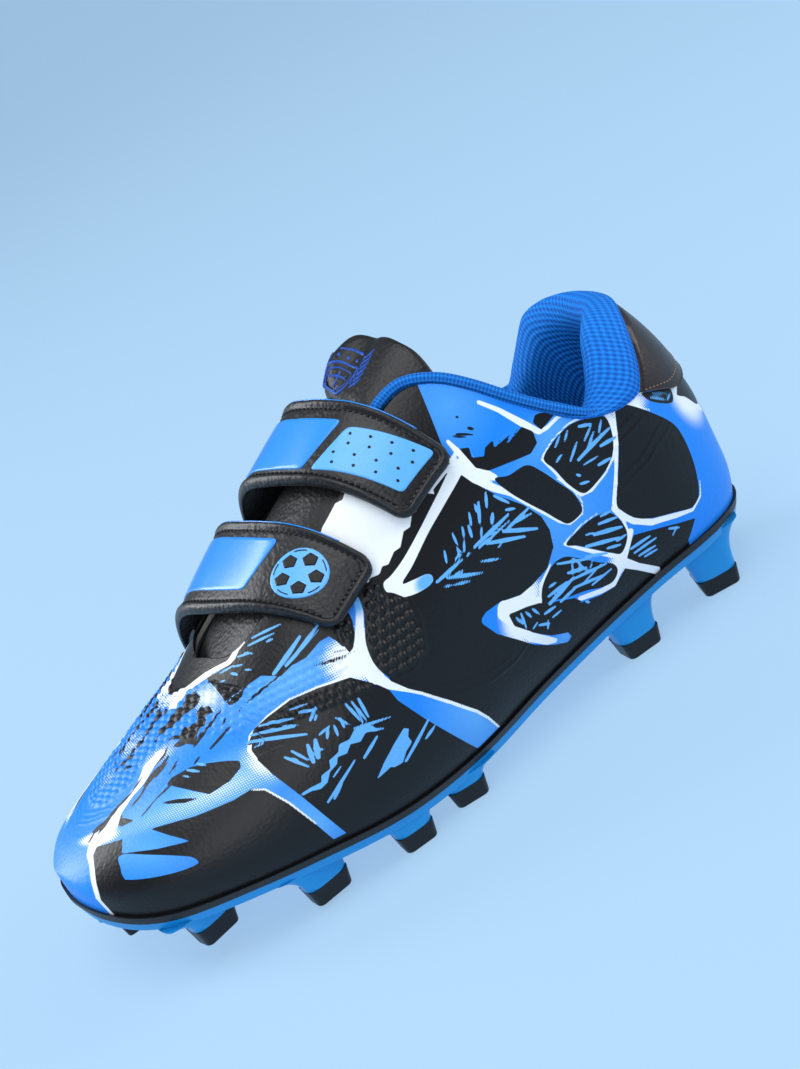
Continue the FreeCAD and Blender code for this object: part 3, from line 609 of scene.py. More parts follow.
STROKES = [st(*s) for s in (
    # side cell
    (12, 49.5, 21, 49.2, 1.1), (22.5, 49, 24, 49), (25.5, 49.3, 38, 49, 1.2),
    (26.5, 48.2, 37.5, 47.6, 0.7), (13.2, 47.2, 15, 46.2), (15.6, 45.8, 20, 43.4),
    (15, 48.4, 24, 42.7, 1.0), (17, 47.6, 19.6, 47), (25, 45.3, 30, 42.1), (29, 47.6, 39, 41.4, 1.1),
    (31, 44.6, 33, 44.9, 0.6), (34.4, 46.8, 43, 40.4, 1.1), (35, 46.4, 44.2, 46.2, 1.0),
    (37, 46.6, 43.6, 44.6), (38, 50.4, 40.4, 48.8), (17, 51.5, 18.2, 54.2), (19.4, 50.5, 22.2, 50.6),
    (21, 50.8, 21.9, 53), (22.6, 50.3, 24, 52.4), (22, 53.2, 22.4, 56), (24.6, 53.2, 25.6, 55.4),
    (26.4, 51.8, 27.2, 54.6, 1.0), (28, 54.2, 29.2, 57), (30.2, 53, 32.8, 57.2, 1.1),
    (33, 50.6, 34.4, 52.2, 1.3), (34, 54.6, 35.8, 57.6, 1.0), (31, 55.6, 31.6, 57.4),
    (28.6, 50, 30, 51.8), (37.2, 55.4, 39.8, 51, 0.9),
    # scratch cells
    (60.5, 47, 65, 49.4, 0.9), (62.5, 45.6, 75, 46, 1.2), (66.4, 46, 70.8, 48.2), (67, 48.2, 71, 49.8),
    (62.2, 52, 64.6, 53.4), (57, 49.6, 59.4, 50), (58.8, 52.6, 62, 54), (68, 52, 71.4, 50.2, 1.0),
    (70, 44, 75, 43, 1.1), (71.8, 47, 74.6, 49.2), (59.5, 40.5, 62, 39.2), (60, 43, 60.8, 42),
    (66.6, 40.6, 70.6, 39.6, 1.0), (63, 43.6, 68, 42.4, 0.6), (51, 24.6, 57, 20.6, 0.9),
    (52.5, 26.6, 62, 21.2, 1.1), (56, 27.4, 64, 23, 1.2), (58.5, 28.6, 64.2, 26, 0.9),
    (60, 29.8, 63.4, 28.6), (57.6, 21.6, 61.5, 19.4), (61, 21, 64.2, 20.4), (54, 29, 56, 28, 0.6),
    (43, 29.2, 52, 23.2, 0.8), (44.5, 25, 50, 22, 1.0), (45, 22.6, 55.4, 18.6, 0.9),
    (44, 20.6, 53.4, 16.6, 0.9), (45.6, 23.4, 47.4, 27.4, 0.7), (47.8, 22.6, 49, 25.4, 0.7),
    (46.4, 19.4, 54, 19.6, 0.6), (48, 26.6, 49.4, 21.6, 0.6), (49.2, 17, 56, 16.2, 0.8),
    (50.4, 20.8, 52.4, 22.4, 0.6), (36, 22.6, 45, 22.8, 1.4), (36.6, 24.4, 43, 23.4, 1.0),
    (38, 26.2, 40.4, 25.6), (39, 20.6, 45, 20.2, 1.0), (25.8, 27, 26.6, 24.4), (27.6, 26.8, 27, 22.6),
    (29, 26, 29.8, 23.6), (31, 25.4, 32, 22.8), (30.6, 20.4, 33.4, 18.4), (33.4, 21.6, 37, 20.8, 0.9),
    (32.4, 17.6, 33.4, 19.4), (35, 19, 38, 18.6, 0.7), (28.6, 21, 30.6, 21.4, 0.6),
    (45.6, 14.6, 46.4, 13.4, 0.8), (63.6, 16.2, 70, 14.8, 1.0), (64, 14.4, 71.4, 13, 0.9),
    (65, 12.6, 70.4, 11.2, 0.9), (66.4, 11, 70.6, 9.8, 0.8), (76, 12.4, 79, 10.4, 0.8),
    (76.4, 9.8, 78.6, 11.2, 0.6), (91, 44.8, 94, 42, 0.9), (92.4, 45.4, 96, 42.6, 0.7),
    (95, 41, 97, 41.6, 0.8), (93, 42.6, 94.6, 41.2, 0.6),
    # vamp beside the straps
    (-34.4, 52.2, -24, 57.8, 1.3), (-31, 52.6, -24.6, 55.2, 1.0), (-27, 54.4, -18.4, 58.2, 0.9),
    (-29, 53.4, -19.6, 56.8, 0.6), (-36.4, 62.4, -35.2, 60.4, 0.7), (-34.8, 63.6, -28.4, 62.4, 0.9),
    (-33, 65, -25.8, 63.6, 0.9), (-38.4, 62.6, -36, 61.4), (-31, 61.4, -29.4, 61.2),
    (-40.6, 60.6, -38.6, 59.4, 0.7), (-44, 61.6, -40.6, 61), (-42, 59.2, -41.2, 57.6, 0.9),
    (-45.4, 59, -44.2, 58.4, 0.7), (-39, 57.6, -38, 56.6, 0.7), (-46, 63.4, -43, 62.6, 0.6),
    # vamp side
    (-49.2, 38.4, -36.6, 34.2, 1.1), (-47.6, 39.8, -38, 37.2, 1.0), (-44.6, 41, -37, 39.2, 0.9),
    (-48.6, 36.4, -46, 36.4, 0.6), (-40, 38.4, -37, 37.2, 0.6), (-35, 40, -31.2, 39, 0.9),
    (-34, 37, -31, 39.6, 0.8), (-36.6, 41.6, -32, 41.2, 0.6), (-33, 36.6, -31.8, 37.8, 0.6),
    (-33, 31.2, -31.4, 33.6, 0.8), (-34.2, 32.8, -30.8, 33.8, 0.7), (-30.4, 30.8, -29.8, 33.6, 0.8),
    (-28.4, 35, -26.6, 32, 0.8), (-28, 32, -27.6, 34.4, 0.8), (-24.6, 37, -23.6, 31, 0.9),
    (-23, 36.8, -22.6, 31, 0.8), (-21.2, 36.8, -21.6, 31.4, 0.9), (-26, 30.6, -16.8, 28.6, 0.8),
    (-24, 28.6, -20, 27, 0.9), (-44, 30.8, -40.6, 26.4, 1.0), (-41.8, 31.6, -39.8, 28, 0.9),
    (-43, 29.8, -42, 29, 1.0), (-39, 27, -37.8, 31.6, 1.3), (-37.4, 27.6, -35.6, 32, 1.5),
    (-36.6, 29.6, -35.2, 29, 0.8), (-45.8, 20.4, -40, 21.2, 0.9), (-41.4, 15.9, -30.2, 23.2, 0.8),
    (-39.6, 16, -36, 19, 0.7), (-28, 22.6, -22.3, 26, 0.9), (-19.3, 16.2, -8.8, 22.4, 1.0),
    (-11.8, 18.5, -8, 20, 0.9), (-37, 21.4, -34, 23.2, 0.5), (-62, 40, -60.6, 38.4, 1.0),
    (-64.8, 39.8, -62.8, 37.6, 1.0), (-66.4, 38.8, -65.4, 37.4, 0.7), (-49.2, 51.4, -42, 52.8, 0.5))]
TOE_LINES = [st(*s) for s in ((-80.6, 33, -75, 36.4, 0.5), (-75, 36.4, -69, 38.6, 0.7))]
INK = [st(*s) for s in (
    (-95, 31, -92, 35.4, 0.5), (-92, 35.4, -88, 37.8, 2.0), (-88.4, 37.6, -83, 41.6, 1.2),
    (-84, 40.8, -79, 43.4, 0.9), (-79, 43.4, -74.2, 46.8, 0.6), (-80.8, 38.4, -77, 40.6, 0.8),
    (-77.4, 40.4, -73, 44.6, 0.9), (-74.8, 43, -70, 46, 1.9), (-71, 44.6, -66.4, 47.6, 1.2),
    (-72, 43.4, -67.6, 45.8, 0.8), (-69, 41.6, -64.6, 45, 0.5), (-68, 42.4, -66, 43.2, 0.5),
    (-60, 45.4, -49.6, 50.6, 0.9), (-59, 46.8, -54.6, 48.6, 0.6), (-57.2, 42, -50.3, 44.8, 0.9),
    (-62.6, 40.4, -60.4, 41.6, 0.7), (-51.6, 46.2, -49.8, 47.6, 0.6), (-46.6, 47.4, -45, 48, 0.6),
    (-43.4, 48.6, -34, 50.8, 0.7), (-35, 50.6, -19, 55.8, 0.7), (-66.8, 55.8, -65, 57, 0.7),
    (-69.6, 54.8, -68.6, 55.8, 0.6), (-77, 54.2, -74.8, 53.8, 1.3), (-25.6, 49.2, -15.4, 47.4, 0.5),
    (-24, 48.4, -18, 47.2, 0.5), (-19.8, 49.8, -16.4, 48.8, 0.5), (-34, 46.6, -31, 46.4, 0.3),
    (-76.8, 57.6, -72.4, 57.6, 1.3), (-74.6, 58.8, -69.4, 60.4, 1.2), (-71.4, 59.4, -66.6, 62, 1.4),
    (-68.6, 61.2, -63.6, 64, 1.3), (-66, 62.6, -61, 66.4, 1.6), (-64, 63.6, -59.4, 66.2, 1.2),
    (-62, 66, -60.4, 68, 1.2), (-61, 63.8, -59.2, 64.6, 0.9), (-79, 57.2, -77, 58, 0.8),
    (40, 77, 40.4, 76.6, 0.7), (41, 72.8, 42, 71.6, 0.9), (36.4, 74, 39.4, 71.4, 0.6),
    (37.6, 73.8, 41.2, 70.6, 0.6), (41, 61.4, 46.6, 64.6, 0.6), (44, 60.6, 52.6, 63.4, 0.6),
    (47, 59.4, 55, 61.6, 0.6))]
WHITE_LINES = [
    [(33.4, 67.4, 2.6), (35.2, 62.4, 2.3), (38.2, 57, 1.9), (41.4, 52.6, 1.3), (44.4, 46.8, 1.2),
     (47.2, 41.4, 0.9), (49.4, 37.2, 0.8), (51.6, 34.6, 0.6), (56, 34.1, 0.5), (57.4, 36.4, 0.5),
     (57, 41, 0.4), (54.6, 46.4, 0.4)],
    [(34.6, 74, 0.9), (35.2, 70.6, 1.5), (36.4, 65.4, 2.2), (38.6, 60.4, 2.4), (40, 58.6, 1.5)],
    [(47.4, 75.6, 1.0), (51, 70.5, 1.3), (55, 63, 2.0), (57.4, 58.8, 1.5), (60, 57.9, 1.0),
     (65, 57.8, 0.9), (69, 55.6, 0.9), (75.5, 52, 1.6), (80.4, 50.4, 2.0), (84, 49.6, 2.3), (87, 48, 1.4),
     (89, 48.2, 0.8)],
    [(53.9, 52.9, 0.8), (55, 48.2, 0.7), (56, 43.2, 0.8), (58.3, 38.1, 0.9), (61.4, 36.9, 0.8),
     (67.2, 37.5, 0.6), (71.6, 39.4, 0.7), (74.6, 43, 1.1), (76.4, 47.6, 1.6), (77.4, 49.8, 2.0)],
    [(54.4, 53.3, 0.7), (59.3, 54.6, 0.4), (65.7, 54.6, 0.4), (70.6, 53.2, 0.7)],
    [(77.2, 46.6, 2.0), (73.8, 41, 1.2), (69.6, 35.4, 1.0), (65.4, 29.6, 1.8), (65.2, 26.2, 1.6),
     (67.6, 21.8, 1.6), (72.2, 17.6, 1.7), (79.6, 14.1, 1.5), (85, 11.9, 0.9), (89, 13.4, 0.5),
     (91, 17, 0.3)],
    [(80.4, 49.6, 1.6), (83.8, 48.2, 1.2), (88.2, 42.4, 0.5)],
    [(47.4, 31.7, 0.6), (50.2, 28.2, 0.8), (53.8, 23.8, 1.0), (57.5, 19.4, 1.1), (60.4, 16.8, 1.8),
     (64.8, 19.6, 1.0), (65.2, 24.2, 0.8), (64.4, 28.6, 1.6), (65.6, 29.4, 1.6)],
    [(47.6, 31.9, 0.5), (54.3, 32.1, 0.4), (59.5, 31.1, 0.3)],
    [(36.4, 28.4, 1.2), (41.4, 30.5, 0.5)], [(36.2, 27.8, 1.6), (34.6, 24.6, 2.0), (30, 28.2, 3.2),
            (24, 31.6, 3.6)],
    [(44.2, 16.8, 1.3), (51, 13.2, 1.5), (55.2, 11.8, 1.7), (58.6, 14.2, 2.2), (61.6, 16.9, 2.6),
     (65.6, 20, 1.8)],
    [(60.2, 14.4, 2.6), (63.6, 10, 1.8), (69.2, 3.4, 2.0)],
    [(23.2, 30.6, 3.4), (24, 26, 1.4), (27, 19.6, 2.4), (31, 14.6, 2.2), (33, 12.6, 1.2)],
    [(88.4, 50, 1.5), (89.2, 47.6, 1.0), (93, 44.4, 0.6)], [(97, 47, 2.4), (100, 43.4, 3.6),
            (103, 36, 3.0), (105, 30, 1.2)],
    [(-14.6, 39.6, 4.2), (-14.2, 43, 3.6), (-13.8, 47.4, 3.4), (-11, 52, 2.0), (-8.6, 55.6, 1.8),
     (-7.6, 58.6, 1.4)],
    [(-15, 43.6, 3.6), (-17, 46.4, 3.0)], [(-14.8, 40, 3.6), (-12.8, 35.8, 2.2), (-9.4, 32, 0.9),
            (-6.8, 29.4, 0.8),
     (-1.2, 22.4, 0.9), (3.8, 15.4, 0.8), (5.9, 11, 0.7), (7.9, 4.8, 0.6)],
    [(-93.4, 29.8, 2.6), (-90.4, 32.4, 3.4), (-88, 34.4, 3.2), (-84.8, 38.6, 2.2), (-80, 42.2, 1.6),
     (-75.6, 44.8, 2.2), (-71.6, 48.8, 3.4), (-67.4, 50.6, 2.4)],
    [(-99.9, 2, 0.7), (-100.8, 8, 0.8), (-99.4, 14, 0.9), (-97.4, 21, 1.0), (-96.4, 25.4, 1.4),
     (-94.6, 29, 2.0)],
    [(-57.6, 64, 3.0), (-53.6, 66, 2.6), (-47, 64.8, 2.4), (-41, 62.9, 1.6), (-39.6, 63.4, 1.8),
     (-37.4, 65, 1.4), (-35.4, 65.6, 1.2)],
    [(-55, 26.6, 0.5), (-52.4, 25.4, 0.6), (-49.4, 19.8, 0.6), (-46.6, 11.9, 0.5)],
    [(-50, 33.4, 0.9), (-50.1, 36.2, 1.0), (-47.6, 39.8, 0.8), (-41.6, 42.5, 0.6), (-35, 44.2, 0.5),
     (-28, 44, 0.6), (-20, 42.8, 0.8)]]


def bumps_on(pts, pitch, radius, high):
    """Rows of round pips on the map, staggered like a honeycomb."""
    row = np.round(pts[:, 1] / (pitch * 0.866))
    col = np.round(pts[:, 0] / pitch - 0.5 * (row % 2))
    best = np.zeros(len(pts))
    for dr in (-1, 0, 1):
        for dc in (-1, 0, 1):
            r = row + dr
            c = col + dc
            cy, cx = r * pitch * 0.866, (c + 0.5 * (r % 2)) * pitch
            q = np.hypot(pts[:, 0] - cx, pts[:, 1] - cy) / radius
            best = np.maximum(best, high * np.sqrt(np.clip(1 - q * q, 0, 1)))
    return best


def blend01(d, soft):
    """1 well inside an outline, 0 outside it."""
    t = np.clip(-d / soft, 0, 1)
    return t * t * (3 - 2 * t)


RELIEF_TOE = [(-90, 48), (-87.4, 54), (-81, 58), (-78, 64), (-66, 70), (-56, 72), (-46.6, 61), (-41, 53),
              (-30, 51.6), (-20, 53.6), (-17, 50), (-19, 44), (-30, 44.4), (-41, 43), (-50, 41),
              (-56, 46), (-64, 52), (-72.6, 51), (-78, 46.6), (-86, 44.6)]
RIDGES = [[(3.6, 52, 0.9), (3.2, 45, 0.9), (0.4, 38.2, 0.9), (-5, 35.6, 0.9), (-10.6, 36.4, 0.7)],
          [(-50, 33.6, 0.4), (-38, 33.4, 0.5), (-25, 34.2, 0.4)],
          [(-5, 27.4, 0.8), (3, 22.6, 0.9), (12, 19, 0.9), (20, 17.8, 0.9), (26, 19, 0.6)],
          [(-4, 29.4, 0.6), (4, 24.6, 0.6), (13, 20.8, 0.6), (20, 19.8, 0.5)],
          [(68, 33, 0.7), (78, 33.6, 0.7), (91, 38.4, 0.7)],
          [(67, 30.6, 0.7), (79, 31.6, 0.8), (91.6, 35.6, 0.7)],
          [(72, 41, 0.6), (80, 41.4, 0.7), (88.6, 42.6, 0.6)],
          [(74, 43.4, 0.6), (80, 44, 0.6), (86.6, 44.8, 0.6)],
          [(-95, 44, 0.5), (-92.6, 40.8, 0.7), (-86.6, 39.6, 0.5)],
          [(-94.6, 47.6, 0.5), (-91.4, 42.8, 0.7), (-86, 40.8, 0.5)],
          [(-92.6, 49, 0.5), (-89.4, 44.6, 0.7), (-85, 42, 0.5)]]


def design(pts):
    """All layers of the print, with a painted highlight on the toe cap, and its relief, at map points (y,
    g).
    """
    out = {}
    out["sd_field"] = union(pts, (FIELD, BAR, TOE_CAP, BAND, CLAW_A, CLAW_B))
    out["sd_white"] = union(pts, (WHITE_FACING, ARROW), WHITE_LINES)
    cells = (CELL_NARROW, CELL_SCRATCH, CELL_HEEL, CELL_LOW_A, CELL_LOW_B, CELL_CLAW, CELL_FRONT,
             CELL_COLLAR, CELL_TAB, CELL_BACK, LEAF, LEAF_SMALL, NOTCH, BLOB_A, BLOB_B, PATCH_DOTS,
             PATCH_LOW, PATCH_UP, PATCH_LEFT)
    out["sd_cell"] = union(pts, cells, TOE_LINES)
    out["sd_stroke"] = union(pts, (ZIGZAG, FLAG), STROKES)
    out["sd_ink"] = union(pts, (), INK)
    y, g = pts[:, 0], pts[:, 1]

    def spot(cy, cg, ry, rg):
        return np.clip(1 - np.hypot((y - cy) / ry, (g - cg) / rg), 0, 1)

    # white halftone fades of the print; the faint spot high on the toe cap, at (-84, 57), is a painted
    # highlight of the glossy toe on top of white print
    fade = np.zeros(len(pts))
    for s in ((-15, 46, 11, 8, 2.2), (-92, 32, 6, 4, 1.8), (-62, 30, 30, 5, 0.5), (-55, 68, 8, 5, 1.0),
              (-68, 50, 7, 4, 0.7), (-84, 57, 8, 5, 0.4), (-72, 62, 7, 5, 0.5), (29, 29, 9, 6, 1.9),
              (25, 25, 6, 9, 1.4), (83, 47, 9, 5, 1.6), (102, 38, 8, 12, 1.6), (36, 63, 3, 7, 1.0),
              (60, 16, 6, 5, 1.5), (-49, 32, 6, 7, 1.0),
              (-50, 57, 6, 8, 0.8)):
        fade = np.maximum(fade, np.clip(spot(*s[:4]) * s[4], 0, 1))
    out["fade"] = fade
    tint = np.zeros(len(pts))
    for s in ((-62, 31, 40, 9, 1.2), (-46, 12, 10, 14, 1.0), (3, 14, 16, 22, 0.9), (-30, 48, 30, 10, 0.9),
              (-84, 22, 14, 12, 0.7), (50, 40, 30, 26, 0.55), (40, 80, 16, 14, 0.5),
              (60, 56, 20, 8, 0.7), (36, 11, 7, 6, 0.8)):
        tint = np.maximum(tint, np.clip(spot(*s[:4]) * s[4], 0, 1))
    out["tint"] = tint
    out["fade_white"] = np.clip(spot(9.5, 51.5, 4, 3) * 2.0, 0,
                                1) + np.clip(spot(-8.4, 57.6, 4, 4) * 1.6, 0, 1)
    out["fade_white"] = np.clip(out["fade_white"], 0, 1)
    relief = bumps_on(pts, 2.9, 1.25, 0.85) * blend01(poly_distance(pts, PATCH_DOTS) + 0.5, 0.8)
    low = np.minimum(poly_distance(pts, PATCH_LOW), poly_distance(pts, PATCH_UP))
    relief = np.maximum(relief, bumps_on(pts, 2.6, 1.12, 0.75) * blend01(low + 0.3, 0.8))
    toe = poly_distance(pts, RELIEF_TOE)
    relief = np.maximum(relief, bumps_on(pts, 2.5, 1.08, 0.65) * blend01(toe, 1.2))
    ridge = union(pts, (), RIDGES)
    relief = relief + 0.32 * blend01(ridge - 0.25, 0.8)
    outlines = [np.abs(poly_distance(pts, c)) for c in (CELL_HEEL, CELL_SCRATCH, CELL_NARROW)]
    edges = np.minimum.reduce(outlines)
    relief = relief + 0.10 * blend01(edges - 0.5, 0.6)
    out["relief"] = relief
    return out


# ------------------------------------------------------------------- the upper
def girth(points):
    """Running length across each row of points."""
    seg = np.linalg.norm(np.diff(points[:, :, [0, 2]], axis=1), axis=2)
    return np.concatenate([np.zeros((len(points), 1)), np.cumsum(seg, axis=1)], axis=1)


def half_girth(y):
    v = np.linspace(0, 0.5, 120)
    return girth(form(np.asarray(y)[:, None], v[None, :]))[:, -1]


def upper_rows(y0, y1, step):
    n = max(4, int(round((y1 - y0) / step)))
    rows = np.linspace(y0, y1, n + 1)
    near = 10.0 * np.linspace(0, 1, int(14 / step) + 1) ** 2
    if y0 <= TOE:
        rows = np.concatenate([TOE + near, rows[rows > TOE + 10 + step / 2]])
    if y1 >= HEEL:
        rows = np.concatenate([rows[rows < HEEL - 10 - step / 2], (HEEL - near)[::-1]])
    return rows


EDGE_FOLD = [(-0.15, 0.0), (-0.45, 0.0015), (-0.9, 0.001), (-1.25, -0.002), (-1.3, -0.02)]


def upper_half(rows, cols, lateral, below=-0.012):
    """One side of the upper: vertices, map points and top edge, row by row."""
    tops = top_edge(rows, lateral)
    t = np.linspace(0, 1, cols)
    v = below + (tops[:, None] - below) * t[None, :]
    vv = v if lateral else 1 - v
    base = form(rows[:, None], vv)
    g = girth(base)
    zero = np.array([np.interp(0.0, v[i], g[i]) for i in range(len(rows))])
    g = g - zero[:, None]
    if not lateral:
        # the far side carries the design mirrored about the ridge
        far = girth(form(rows[:, None], 1 - np.linspace(0, 0.5, 120)[None, :]))[:, -1]
        g = g * (half_girth(rows) / np.maximum(far, 1))[:, None]
    pts = np.stack([np.broadcast_to(rows[:, None], g.shape), g], -1)
    return tops, v, vv, pts


def build_upper(name, y0, y1, step, cols, sides, node_name):
    rows = upper_rows(y0, y1, step)
    verts, faces, uv = [], [], []
    values = {}
    start = 0
    for lateral in sides:
        tops, v, vv, pts = upper_half(rows, cols, lateral)
        layers = design(pts.reshape(-1, 2))
        relief = layers.pop("relief").reshape(vv.shape)
        fade_edge = np.clip((tops[:, None] - v) / 0.01, 0, 1)
        open_row = (tops < 0.499)[:, None]
        relief = relief * np.where(open_row, fade_edge, 1.0)
        base = form(rows[:, None], vv, relief, 0.0)
        grid = [base]
        maps = [pts]
        cols_all = cols
        ext = {k: [x.reshape(vv.shape)] for k, x in layers.items()}
        for d, dv in EDGE_FOLD:
            vt = np.where(tops < 0.499, tops + dv, tops)
            vt = vt if lateral else 1 - vt
            dd = np.where(tops < 0.499, d, 0.0)
            grid.append(form(rows, vt, dd, 0.0)[:, None, :])
            maps.append(pts[:, -1:, :])
            for k in ext:
                ext[k].append(ext[k][0][:, -1:])
            cols_all += 1
        grid = np.concatenate(grid, 1)
        verts.append(grid.reshape(-1, 3))
        uv.append(np.concatenate(maps, 1).reshape(-1, 2))
        for k in ext:
            values.setdefault(k, []).append(np.concatenate(ext[k], 1).reshape(-1))
        faces += grid_faces(len(rows), cols_all, flip=not lateral, start=start)
        start += grid.shape[0] * grid.shape[1]
    verts = np.vstack(verts)
    return put(name, verts, faces, "shoe", PRINT, (node_name,),
               {k: np.concatenate(x) for k, x in values.items()},
               np.vstack(uv), merge=0.004)


coarse = 1.0
build_upper("vamp_skin", TOE, -38, 0.42 * coarse, int(190 / coarse), (True, False), "vamp")
build_upper("lateral_quarter_skin", -38, HEEL, 0.5 * coarse, int(210 / coarse), (True,),
            "lateral_quarter")
build_upper("medial_quarter_skin", -38, HEEL, 0.7 * coarse, int(150 / coarse), (False,), "medial_quarter")


# ------------------------------------------------------- places on the form
def point_at_height(y, z, d, lateral=True):
    """A point of the form's side at height z (the highest v that reaches it)."""
    grid = np.linspace(0.05, 0.5, 260)
    v = grid if lateral else 1 - grid
    p = form(y, v, d)
    return np.array([np.interp(z, p[:, 2], p[:, k]) for k in range(3)])


def point_at_x(x, y, d):
    """A point of the form's crown straight above (x, y)."""
    v = np.linspace(0.1, 0.9, 400)
    p = form(y, v, d)
    z = np.interp(-x, -p[:, 0], p[:, 2])
    return np.array([x, y, z])


def unit(v):
    return v / (np.linalg.norm(v, axis=-1, keepdims=True) + 1e-12)


def resample(path, count):
    """A polyline's points at even spacing."""
    path = np.asarray(path, float)
    run = run_length(path)
    t = np.linspace(0, run[-1], count)
    return np.stack([np.interp(t, run, path[:, k]) for k in range(path.shape[1])], -1)


def capsules(name, places, body, mat, radius):
    """Short stitches: each place is a start and an end point in millimetres."""
    verts, faces = [], []
    start = 0
    for a, b in places:
        a, b = np.asarray(a, float), np.asarray(b, float)
        path = [a, a + 0.12 * (b - a), a + 0.5 * (b - a), b - 0.12 * (b - a), b]
        v, f, _ = tube(path, np.array([0.35, 0.85, 1.0, 0.85, 0.35]) * radius, 6)
        verts.append(v)
        faces += [tuple(i + start for i in q) for q in f]
        start += len(v)
    return put(name, np.vstack(verts), faces, body, mat)


# ------------------------------------------------------------------- straps
# front edge and rear edge of each strap, each three points as (place along the boot, v)
STRAPS = {
    "upper": (((-12, 0.70), (-6.5, 0.50), (12.5, 0.30)), ((9.5, 0.70), (13.6, 0.50), (33, 0.287))),
    "lower": (((-43, 0.72), (-38, 0.50), (-17, 0.298)), ((-22, 0.72), (-17.3, 0.50), (0, 0.303)))}
# heights over the form: the surface a strap is laid out on, and its stitches
STRAP_LINE, STITCH_HEIGHT, STITCH_STEP = 2.5, 3.98, 1.75
# how far a strap stands off over the medial shoulder, and the v where that begins
ARCH_RISE, ARCH_START = 3.4, 0.44


class Strap:
    """A strap's own flat map: p millimetres from its free end, q from its front edge."""

    def __init__(self, name):
        self.front, self.rear = STRAPS[name]
        self.v_free = (self.front[2][1] + self.rear[2][1]) / 2
        self.v_root = (self.front[0][1] + self.rear[0][1]) / 2
        mid = form(0.5 * (self.front[1][0] + self.rear[1][0]), 0.5, STRAP_LINE)
        planes = []
        for edge in (self.front, self.rear):
            a, b, c = [form(y, v, STRAP_LINE) for y, v in edge]
            n = unit(np.cross(b - a, c - a))
            planes.append((a, n if n @ (mid - a) > 0 else -n))
        vs = np.linspace(0.2, 0.8, 61)
        self.edges = []
        for a, n in planes:
            ys = []
            for v in vs:
                grid = np.linspace(-60, 60, 241)
                side = (form(grid, v, STRAP_LINE) - a) @ n
                k = int(np.argmax(side[:-1] * side[1:] <= 0))
                t = side[k] / (side[k] - side[k + 1] + 1e-12)
                ys.append(grid[k] + t * (grid[k + 1] - grid[k]))
            self.edges.append(np.array(ys))
        self.vs = vs
        centre = form((self.edges[0] + self.edges[1]) / 2, vs, STRAP_LINE)
        run = run_length(centre)
        self.run = run - np.interp(self.v_free, vs, run)
        self.length = float(np.interp(self.v_root, vs, self.run))
        a, b = [form(np.interp(0.5, vs, e), 0.5, STRAP_LINE) for e in self.edges]
        self.width = float(np.linalg.norm(b - a))

    def at(self, p, q, d):
        """A point of the strap; it stands a little off the boot over the far shoulder."""
        p, q, d = np.broadcast_arrays(np.asarray(p, float), np.asarray(q, float), np.asarray(d, float))
        v = np.interp(p, self.run, self.vs)
        y0, y1 = [np.interp(v, self.vs, e) for e in self.edges]
        over = np.clip((v - ARCH_START) / (self.v_root - ARCH_START), 0, 1)
        arch = ARCH_RISE * np.sin(over * math.pi) ** 2
        return form(y0 + (y1 - y0) * q / self.width, v, d + arch)

    def find(self, y, v):
        """The strap's own (p, q) of a place on the form."""
        p = float(np.interp(v, self.vs, self.run))
        y0, y1 = [float(np.interp(v, self.vs, e)) for e in self.edges]
        return p, self.width * (y - y0) / (y1 - y0)


def round_rect(p0, p1, q0, q1, radii, spacing):
    """An outline of a rectangle with a radius at each corner, anticlockwise from (p0, q0)."""
    corners = [(p0, q0, 1, 1), (p1, q0, -1, 1), (p1, q1, -1, -1), (p0, q1, 1, -1)]
    begin = [math.pi, 1.5 * math.pi, 0, 0.5 * math.pi]
    out = []
    for k, (p, q, sp, sq) in enumerate(corners):
        r = max(radii[k], 0.02)
        c = np.array([p + sp * r, q + sq * r])
        for a in np.linspace(0, math.pi / 2, 9):
            out.append(c + r * np.array([math.cos(begin[k] + a), math.sin(begin[k] + a)]))
        n = spacing[k % 2]
        pn, qn, spn, sqn = corners[(k + 1) % 4]
        rn = max(radii[(k + 1) % 4], 0.02)
        nxt = np.array([pn + spn * rn, qn + sqn * rn]) + rn * np.array(
            [math.cos(begin[(k + 1) % 4]), math.sin(begin[(k + 1) % 4])])
        last = out[-1]
        for t in np.linspace(0, 1, n + 2)[1:-1]:
            out.append(last + t * (nxt - last))
    return np.array(out)


def inset_pad(strap, p0, p1, q0, q1, radii, profile, spacing):
    """Rings of a rounded rectangle, each at an inset and a height of the profile."""
    rings = []
    for inset, h in profile:
        r = [x - inset for x in radii]
        ring = round_rect(p0 + inset, p1 - inset, q0 + inset, q1 - inset, r, spacing)
        rings.append((ring, strap.at(ring[:, 0], ring[:, 1], h)))
    count = len(rings[0][0])
    verts = np.vstack([r[1] for r in rings])
    flat = np.vstack([r[0] for r in rings])
    faces = grid_faces(len(rings), count, wrap=True, flip=True)
    return verts, flat, faces


# how far the padded strap reaches past the free end of its map; a third of it past each long edge
OVER = 1.8


def strap_profile(width):
    """From the middle of the underside, round the thick edge, to the middle of the top."""
    half = width / 2 + OVER / 3 - 0.02
    under = [(half, 1.95), (half * 0.6, 1.95), (2.4, 1.95), (1.2, 1.9)]
    edge = [(0.55, 1.95), (0.2, 2.15), (0.0, 2.6), (-0.06, 3.1), (0.02, 3.65), (0.25, 4.15), (0.62, 4.5),
            (1.05, 4.62), (1.5, 4.55), (1.85, 4.3), (2.1, 4.0), (2.35, 3.82), (2.75, 3.78), (3.1, 3.88)]
    n = 13
    top = [(3.1 + (half - 3.1) * k / n, 3.88 + 0.12 * math.sin(math.pi / 2 * k / n))
           for k in range(1, n + 1)]
    return under + edge + top


